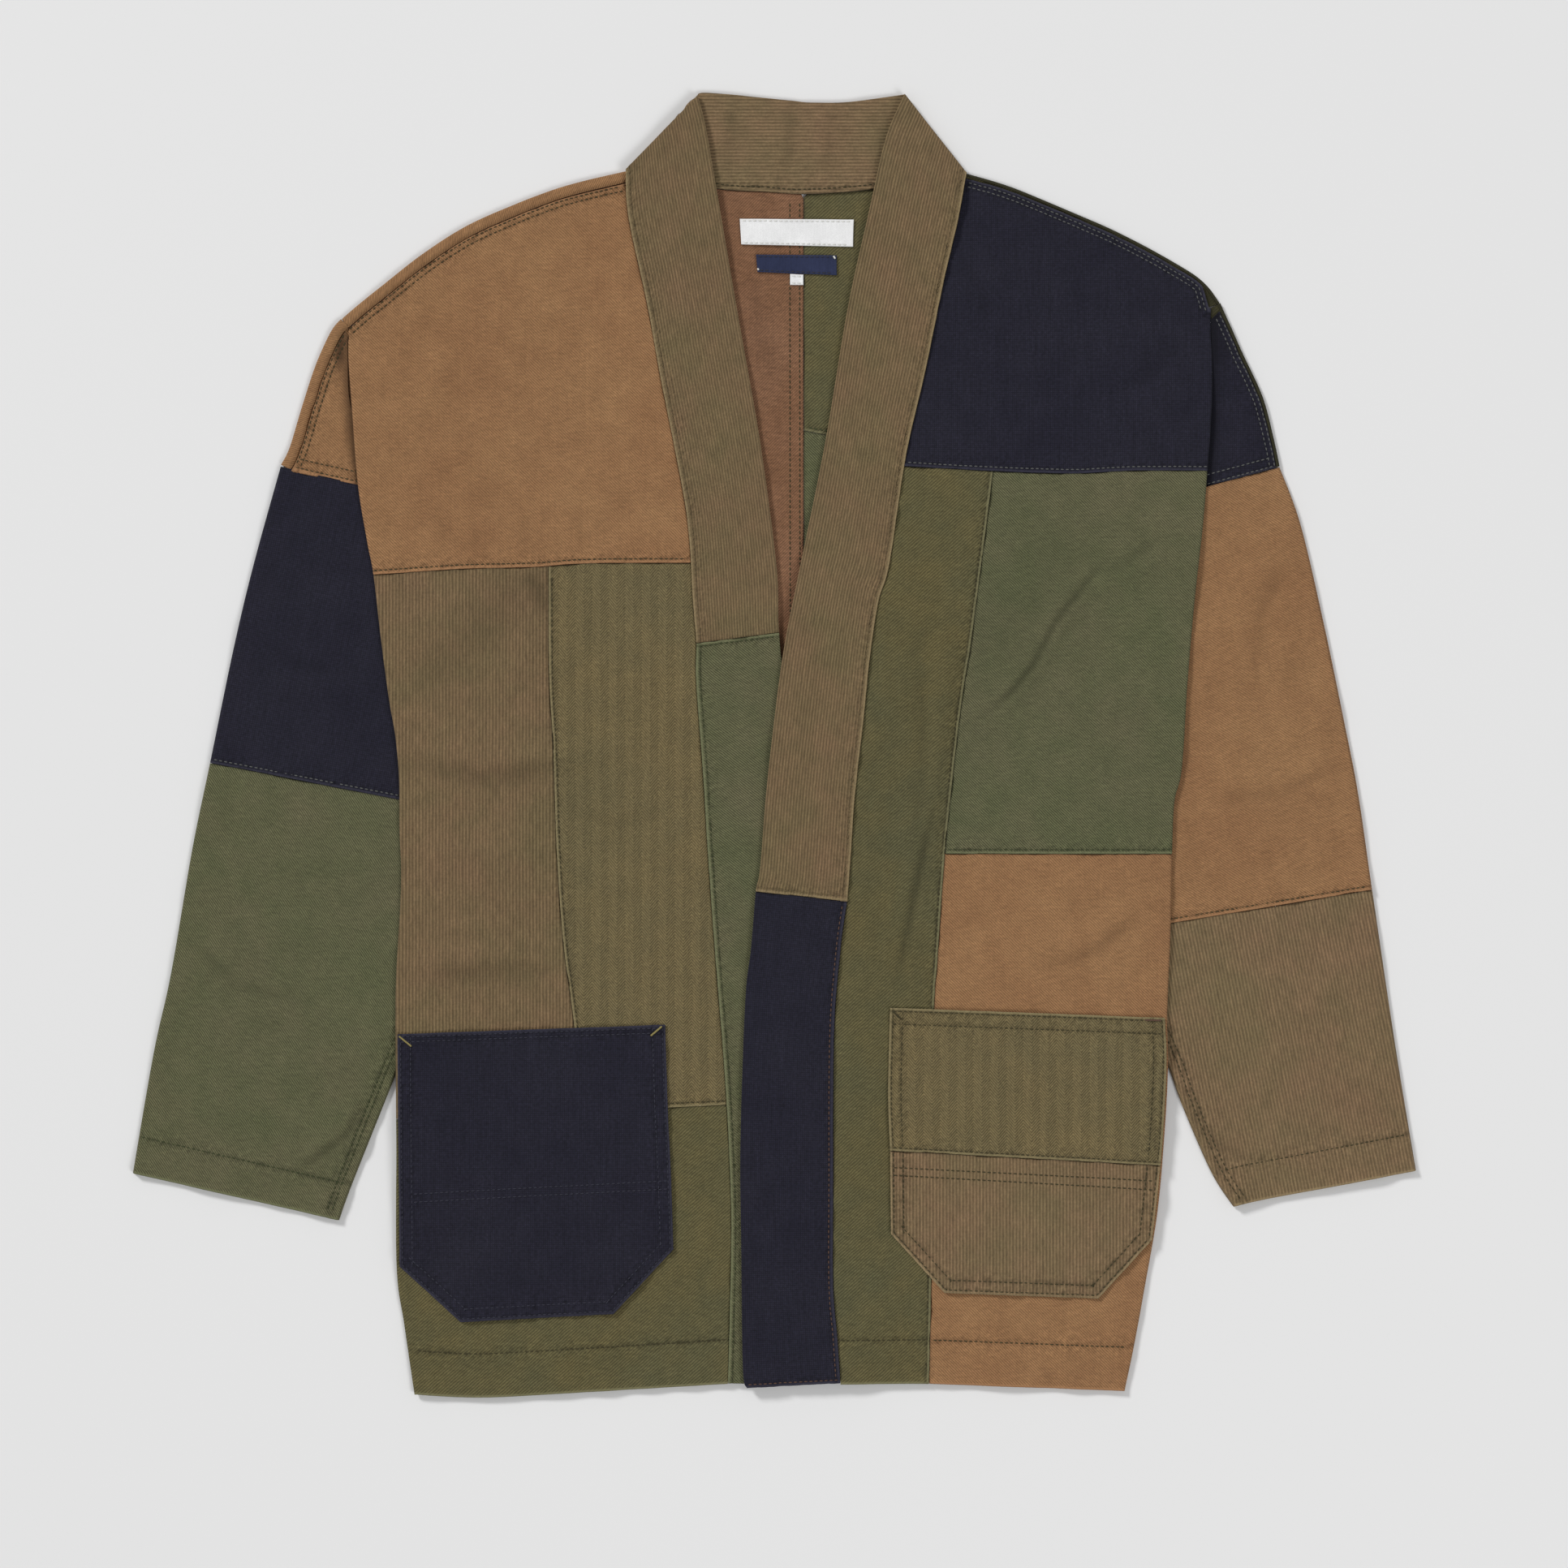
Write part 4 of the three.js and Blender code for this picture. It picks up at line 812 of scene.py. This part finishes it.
# Each crease is the line that it follows, how high or deep it is, and its width. The deep ones are
# also darkened with painted shade.
creases = [
    (((196, 106), (174.5, 79), (161, 53), (144, 33), (126, 17)), 2.9, 8),
    (((113, 97), (103, 20), (94.5, -37.5), (77.5, -130)), 2.4, 8),
    (((-226, -1), (-177, -11), (-127, -7), (-97, -3.5)), 2.0, 9),
    (((-224, -136), (-177, -133.5), (-134, -131)), 1.5, 8),
    (((208, 118), (193, 101), (174, 77), (160, 50), (143, 29), (126, 16)), -2.6, 2.6),
    (((236, 128), (216, 112), (198, 104)), -1.3, 3.5),
    (((236, 116), (210, 100), (190, 96)), 1.5, 8),
    (((97, -41), (84, -104), (74, -150)), -2.4, 2.6),
    (((88, 60), (92, 0), (86, -60)), -1.2, 3.5),
    (((-156, 106), (-146, 97), (-140, 82)), -2.4, 6),
    (((-224, -12), (-178, -21), (-130, -17)), -1.3, 6),
    (((-222, -143), (-180, -141), (-140, -138)), -1.1, 7),
    (((-252, 178), (-215, 182), (-176, 172)), 1.2, 12),
    (((-240, 190), (-215, 215), (-196, 250)), 1.3, 12),
    (((-180, 250), (-150, 262), (-110, 268)), 1.1, 12),
    (((-205, 121), (-204, 130), (-206, 141)), -0.9, 3),
    (((-186, 120), (-184, 131), (-186, 138)), -0.8, 3),
    (((-152, 121), (-152, 130), (-154, 140)), -0.8, 3),
    (((-118, 122), (-120, 131), (-121, 143)), -0.9, 3),
    (((130, 330), (160, 312), (195, 300)), 1.4, 8),
    (((240, 262), (225, 240), (205, 226)), 1.6, 9),
    (((246, 246), (232, 228), (214, 219)), -1.2, 4),
    (((252, 215), (230, 205), (200, 190)), 1.2, 10),
    (((112, 300), (124, 285), (130, 262)), -1.1, 4),
    (((232, -44), (200, -32), (160, -38)), 1.0, 12),
    (((228, -96), (190, -122), (150, -130)), 1.5, 8),
    (((222, -108), (196, -128), (168, -138)), -1.3, 3.5),
    (((-222, -60), (-180, -70), (-140, -64)), 1.1, 12),
    (((-140, 108), (-168, 86), (-196, 52), (-232, 36)), -1.1, 15),
    (((200, 150), (170, 110), (140, 60), (128, 20)), -0.7, 26),
    (((-110, 60), (-90, 40), (-70, 36)), 1.3, 8),
    (((-100, -110), (-80, -122), (-55, -118)), 1.2, 8),
    (((-126, -40), (-96, -48), (-66, -40)), -0.8, 4),
    (((-210, -372), (-150, -378), (-90, -368)), 0.9, 9),
    (((120, -372), (160, -378), (205, -370)), 0.9, 9),
]
LAP = 2.9
DEEPEST = 0.3


def lapped(y):
    """How far the right front has come up onto the left one, at a height."""
    return ease((130 - y) / 58)


def front(x, y):
    """The fronts lie on the back, with a few soft creases, and the right one comes down from the lap."""
    p = np.column_stack([np.ravel(x), np.ravel(y)])
    z = back = PLY + lift(p[:, 0], p[:, 1])
    for line, height, width in creases:
        z = z + height * crease(p, line, width)
    z = np.maximum(z, back - DEEPEST)
    beyond_band = LAP * lapped(p[:, 1]) * ease(1 - (p[:, 0] - on(front_right, p[:, 1])) / 50)
    return (z + np.where(p[:, 0] > 0, beyond_band, 0)).reshape(np.shape(x))


def lip(length):
    """The lip under a front is short at the tip of the pleat."""
    return lambda v: np.minimum(UNDER, 2 + v * length / 3) - SEAM / 2


def front_panel(node, edges, cloth_used, slot, cut, **more):
    """One panel of a front, with the creases that run across them all, their hollows in painted shade."""
    panel(node + "_cloth", node, edges, front, [cloth_used], slot, cut, creased=creases, **more)


LIP = (-1, UNDER - SEAM / 2)
seam_left = spaced(moved(spaced(shoulder_left), -OVER_LEFT)[::-1])
yoke_side, yoke_band = spot(side_left, 104.5), spot(front_left, 112)
yoke_hem_left = seam(yoke_side, (-190, 108.2), (-150, 109.3), (-114.5, 111.7), yoke_band)
RIB_EDGE = -139
rib_top = float(np.interp(RIB_EDGE, yoke_hem_left[:, 0], yoke_hem_left[:, 1]))
rib_seam = seam((RIB_EDGE, 109), (-138.5, 42.5), (-136, -3.5), (-134, -64.5), (-130, -121), (-123.5, -170),
    (-118, -225.5))
foot_side, foot_middle, foot_band = spot(side_left, -230), spot(rib_seam, -225.5), spot(front_left, -221.5)
hem_side, hem_band = spot(side_left, -399.5), spot(front_left, -393)
front_panel("front_left_yoke", {
    "head": seam_left, "foot": span(yoke_hem_left, yoke_side[0], yoke_band[0]),
    "left": run(side_left, seam_left[0, 1], yoke_side[1]),
    "right": run(front_left, seam_left[-1, 1], yoke_band[1])},
    brown, "brown_twill", (0.21, 0.25), seams={"head": (0.9, 3.9), "foot": (2.5,)},
    folds={"left": (-1, lip(150))}, area=0.038,
    rests_on=["back_left_cloth"])
front_panel("front_left_rib", {
    "head": span(yoke_hem_left, yoke_side[0], RIB_EDGE), "foot": straight(foot_side, foot_middle),
    "left": run(side_left, yoke_side[1], foot_side[1]), "right": run(rib_seam, rib_top, foot_middle[1])},
    rib, "ribbed_cloth", (0.12, 0.34), seams={"head": (), "right": ()}, folds={"left": LIP}, area=0.04,
    rests_on=["back_left_cloth"])
front_panel("front_left_herringbone", {
    "head": span(yoke_hem_left, RIB_EDGE, yoke_band[0]), "foot": straight(foot_middle, foot_band),
    "left": run(rib_seam, rib_top, foot_middle[1]), "right": run(front_left, yoke_band[1], foot_band[1])},
    herringbone, "herringbone_cloth", (0.095, 0.34), seams={"head": (), "left": (2,), "foot": (2.5,)},
    area=0.0305, rests_on=["back_left_cloth"])
front_panel("front_left_lower", {
    "head": bent([foot_side, foot_middle, foot_band], [0, 5 / 9, 1]),
    "foot": spaced(seam(hem_side, (-180, -401.5), (-113, -398), hem_band)),
    "left": run(side_left, foot_side[1], hem_side[1]), "right": run(front_left, foot_band[1], hem_band[1])},
    olive, "olive_twill", (0.215, 0.18), seams={"head": (), "foot": (27,)}, folds={"left": LIP}, area=0.0365,
    rests_on=["back_left_cloth"])

# The right front is pieced of four cotton cloths: a navy yoke, an olive twill column beside the band, and
# a sage panel above a brown twill one, both outside the column. The column and the brown panel have the
# turned hem. It is sewn and folded as the left one is, and comes down from the lap of the bands.
seam_right = spaced(np.vstack([moved(spaced(shoulder_right), OVER_RIGHT)[:-36], [(267.8, 267.5)]]))
column_head = (134.5, 168.5)
yoke_band, yoke_side = spot(front_right, 171.5), spot(side_right, 168.5)
yoke_hem_right = seam(yoke_band, column_head, (183.5, 167), (218, 168.5), yoke_side)
column_seam = seam(column_head, (128.5, 120), (121, 63.5), (116.5, 36), (112, 1), (107, -45), (103.5, -85),
    (100.5, -130), (98, -175), (96.5, -329), (95, -393.5))
CHEST_FOOT = -67
chest_foot = straight(spot(column_seam, CHEST_FOOT), spot(side_right, CHEST_FOOT))
hem_band, hem_column, hem_side = spot(front_right, -393), spot(column_seam, -393), spot(side_right, -397.5)
front_panel("front_right_yoke", {
    "head": seam_right, "foot": span(yoke_hem_right, yoke_band[0], yoke_side[0]),
    "left": run(front_right, seam_right[0, 1], yoke_band[1]),
    "right": run(side_right, seam_right[-1, 1], yoke_side[1])},
    navy, "navy_cloth", (0.19, 0.19), seams={"head": (2.3, 4.9), "foot": (2.5,)},
    folds={"right": (-1, lip(100))}, area=0.0265, sewn=grey_thread,
    rests_on=("back_right_upper_cloth",))
front_panel("front_right_column", {
    "head": span(yoke_hem_right, yoke_band[0], column_head[0]), "foot": straight(hem_band, hem_column),
    "left": run(front_right, yoke_band[1], hem_band[1]),
    "right": run(column_seam, column_head[1], hem_column[1])},
    olive, "olive_twill", (0.065, 0.57), seams={"head": (), "right": (2,), "foot": (27,)}, area=0.034,
    rests_on=("back_right_upper_cloth", "back_right_lower_cloth"))
front_panel("front_right_chest", {
    "head": span(yoke_hem_right, column_head[0], yoke_side[0]), "foot": chest_foot,
    "left": run(column_seam, column_head[1], CHEST_FOOT),
    "right": run(side_right, yoke_side[1], CHEST_FOOT)},
    sage, "sage_cloth", (0.155, 0.24), seams={"head": (), "left": (), "foot": (2.5,)}, folds={"right": LIP},
    area=0.0355, sewn=green_thread, rests_on=("back_right_upper_cloth", "back_right_lower_cloth"))
front_panel("front_right_lower", {
    "head": chest_foot, "foot": straight(hem_column, hem_side),
    "left": run(column_seam, CHEST_FOOT, hem_column[1]), "right": run(side_right, CHEST_FOOT, hem_side[1])},
    brown, "brown_twill", (0.15, 0.33), seams={"head": (), "left": (), "foot": (27,)}, folds={"right": LIP},
    area=0.047, rests_on=("back_right_lower_cloth",))

# The drop shoulders are the ends of the yokes and of the back, of the same cloths. They come out from under
# the pleats and are sewn to each other along the shoulder and to the sleeves at the armholes. Those of the
# back lie on the card, under those of the yokes.
PLEAT_START = 14
ASIDE = (0, 0.6)
MORE_UNDER = 5


def wing(layer, side, outer, near, armhole, level, material, slot, sewn, area, **more):
    """A drop shoulder between its outer edge and the one under the pleat."""
    left, right = (outer, near) if side == "left" else (near, outer)
    panel(f"{layer}_{side}_wing_cloth", f"{layer}_{side}_wing", {
        "head": straight(left[0], right[0]), "foot": span(armhole, left[-1, 0], right[-1, 0]),
        "left": spaced(left), "right": spaced(right)},
        level, [material], slot, (0.075, 0.11), sewn=sewn, area=area, **more)


wing_left = seam((-267, 261.5), (-273, 254), (-282, 234.5), (-290.5, 209), (-298.5, 182.5), (-304, 171.5))
wing_right = seam((274.5, 271.5), (281, 257), (288.5, 240), (300.5, 214), (307.5, 188), (311, 171))
wing_left_inner = seam((-262.7, 255.5), (-262.6, 238), (-260.4, 208), (-247, 180), (-233, 154.5))
wing_right_inner = seam((268.6, 266), (268.8, 250), (269.4, 228), (266.5, 205), (256, 178), (245.5, 153.7))
PLEAT_GAPS = ((300, 1.5), (250, 1.5), (190, 1), (110, 0.5))
WING_CLOTHS = {
    "left": ((brown, "brown_twill"), (brown, "brown_twill"), olive_thread),
    "right": ((navy, "navy_cloth"), (olive, "olive_twill"), grey_thread)}
for side, sign, over, silhouette, inner, armhole in (
    ("left", -1, OVER_LEFT, wing_left, wing_left_inner, armhole_left),
    ("right", 1, OVER_RIGHT, wing_right, wing_right_inner, armhole_right),
):
    (front_cloth, front_slot), (back_cloth, back_slot), sewn = WING_CLOTHS[side]
    fold = side_left if side == "left" else side_right
    # Painted shade darkens the right drop shoulders' folded edges and the hollows beside and under each
    # pleat.
    shades = {"dusk": 0.0 if side == "left" else DARKEST}
    beside_pleat = [(on(fold, y) + sign * out, y) for y, out in PLEAT_GAPS]
    under_tip = [(sign * 269, 285), (sign * 267.5, 262), (sign * 267, 225)]
    recess = [(beside_pleat, -4.5, 4.5), (under_tip, -5.6, 5.5 if side == "left" else 9)]
    seam_line = spaced(moved(spaced(silhouette), sign * over))
    near = spaced(inner)
    wing("front", side, seam_line[PLEAT_START:], near[PLEAT_START:], armhole, upper, front_cloth,
         front_slot, sewn, area=0.0033, seams={"foot": (1.5, 7), side: (0.9, 3.9)}, creased=recess,
         rests_on=[f"back_{side}_wing_cloth"], **shades)
    near = near - np.outer(sign * MORE_UNDER * (1 - ease(SHARES * 1.6)), (1, 0)) + ASIDE
    wing("back", side, spaced(silhouette) + ASIDE, near, armhole, floor, back_cloth, back_slot, sewn,
         area=0.0045, folds={side: (1, beyond(over))}, creased=[] if side == "left" else recess, **shades)

# The front bands are strips of ribbed cotton folded double, sewn to the front edges with one row of
# stitches. Each has a length of another cloth sewn on below, sage on the left and navy on the right.
# They rise to the collar at the neck, and from the chest down the right one laps over the left one.
lap_left = seam((-47, 399.5), (-42, 379.5), (-35.5, 342), (-22, 263), (-8.5, 185.5), (1.5, 109), (3, 69),
    (9, 9), (14, -91), (21, -241), (23, -392.5))
lap_right = seam((80, 400.5), (68.5, 373.5), (58, 328), (45, 269), (31, 185.5), (15.5, 109), (6, 61),
    (-1, 9), (-5.5, -33), (-9, -76.5), (-11.5, -90), (-14.5, -125), (-18, -157.5), (-21, -244.5),
    (-20.5, -309.5), (-19.5, -383), (-17, -395))


def band_left(x, y):
    """The left band lies on the back and rises to the collar."""
    return PLY + 1.6 * ease((y - 290) / 45)


def band_right(x, y):
    """The right band comes up onto the left one."""
    return band_left(x, y) + LAP * lapped(y)


def band(node, edges, level, cloth_used, slot, cut, **more):
    """One length of a band, its weave following it."""
    panel(node + "_cloth", node, edges, level, [cloth_used], slot, cut, thick=DOUBLE, follow=True, **more)


left_band_seam = straight(spot(front_left, 62.5), spot(lap_left, 69))
right_band_seam = straight(spot(lap_right, -90), spot(front_right, -96))
band("band_left_upper", {
    "head": straight(spot(front_left, 354), spot(lap_left, 399.5)), "foot": left_band_seam,
    "left": run(front_left, 354, 62.5), "right": run(lap_left, 399.5, 69)},
    band_left, rib, "ribbed_cloth", (0.055, 0.34), seams={"left": (2.5,), "foot": ()}, area=0.0175,
    sewn=tan_thread, rests_on=("back_left_cloth", "collar_back_cloth"))
band("band_left_lower", {
    "head": left_band_seam, "foot": straight(spot(front_left, -393), spot(lap_left, -392.5)),
    "left": run(front_left, 62.5, -393), "right": run(lap_left, 69, -392.5)},
    band_left, sage, "sage_cloth", (0.055, 0.46), seams={"left": (2.5,), "head": (2,)}, area=0.0235,
    sewn=green_thread, rests_on=("back_left_cloth", "back_right_lower_cloth"))
band("band_right_upper", {
    "head": straight(spot(lap_right, 400.5), spot(front_right, 352)), "foot": right_band_seam,
    "left": run(lap_right, 400.5, -90), "right": run(front_right, 352, -96)},
    band_right, rib, "ribbed_cloth", (0.056, 0.5), seams={"right": (2.5,), "foot": (2.5,)}, area=0.0265,
    sewn=tan_thread, rests_on=(
        "back_right_upper_cloth", "collar_back_cloth", "band_left_upper_cloth", "band_left_lower_cloth"))
band("band_right_lower", {
    "head": right_band_seam, "foot": straight(spot(lap_right, -395), spot(front_right, -392)),
    "left": run(lap_right, -90, -395), "right": run(front_right, -96, -392)},
    band_right, navy, "navy_cloth", (0.057, 0.305), seams={"right": (2.5,), "head": (), "foot": (2,)},
    area=0.0165, sewn=red_thread, rests_on=("band_left_lower_cloth", "back_right_lower_cloth"))

# The patch pockets have their lower corners cut off. The left one is navy cotton. The right one is
# herringbone above ribbed cloth, sewn together across. They are sewn onto the fronts with two rows of
# stitches round their sides and feet, and short bar tacks hold the corners of their openings.
FOOT = [0, 0.2, 0.8, 1]
CORNERS = (FOOT[1:3], ())
ROUND = {"foot": (2, 8), "left": (2, 8), "right": (2, 8)}


def pocket(x, y):
    """The pockets lie on the fronts."""
    return front(x, y) + PLY


# Painted shade darkens the pockets along the deep creases of the fronts.
panel("left_pocket_cloth", "pocket_left", {
    "head": straight((-231.5, -177.5), (-67, -172)),
    "foot": bent([(-230.5, -320.5), (-193, -355), (-99, -350), (-62, -310)], FOOT),
    "left": straight((-231.5, -177.5), (-230.5, -320.5)),
    "right": spaced(seam((-67, -172), (-65.5, -222), (-63.5, -264), (-62, -310)))},
    pocket, [navy], "navy_cloth", (0.168, 0.183), creased=creases, seams={"head": (2, 5), **ROUND},
    corners=CORNERS, area=0.0275,
    rests_on=("front_left_rib_cloth", "front_left_herringbone_cloth", "front_left_lower_cloth"),
    sewn=navy_thread, sewn_too=[[(-222, -276), (-65.6, -268)], [(-222, -281), (-65.5, -273)]],
    tacks=((khaki_thread, ((-230.4, -178.9), (-222.6, -185.2))),
        (khaki_thread, ((-69.2, -173), (-76.8, -179.5)))))
pocket_seam = straight((71, -249.5), (237.3, -258.5))
panel("right_pocket_upper_cloth", "pocket_right_upper", {
    "head": straight((71, -161.5), (239.8, -167.5)), "foot": pocket_seam,
    "left": spaced(seam((71, -161.5), (69.8, -213.5), (71, -249.5))),
    "right": spaced(seam((239.8, -167.5), (240.8, -196), (238.9, -237.5), (237.3, -258.5)))},
    pocket, [herringbone], "herringbone_cloth", (0.171, 0.092), creased=creases,
    seams={"head": (2, 10), **ROUND, "foot": (2,)}, area=0.0152,
    rests_on=("front_right_column_cloth", "front_right_lower_cloth"),
    tacks=((red_thread, ((227.5, -168.8), (238.4, -169.2))), (olive_thread, ((72.5, -163.4), (78, -168.6)))))
panel("right_pocket_lower_cloth", "pocket_right_lower", {
    "head": pocket_seam, "foot": bent([(71.5, -300.5), (104.5, -337), (199, -340.5), (232.3, -304)], FOOT),
    "left": straight((71, -249.5), (71.5, -300.5)), "right": straight((237.3, -258.5), (232.3, -304))},
    pocket, [pale_rib], "ribbed_cloth", (0.166, 0.091), creased=creases, seams={"head": (), **ROUND},
    corners=CORNERS, area=0.0132,
    rests_on=("front_right_column_cloth", "front_right_lower_cloth"),
    sewn_too=[[(73, -259.8), (235, -268)], [(73, -264.5), (234.6, -273.5)]])
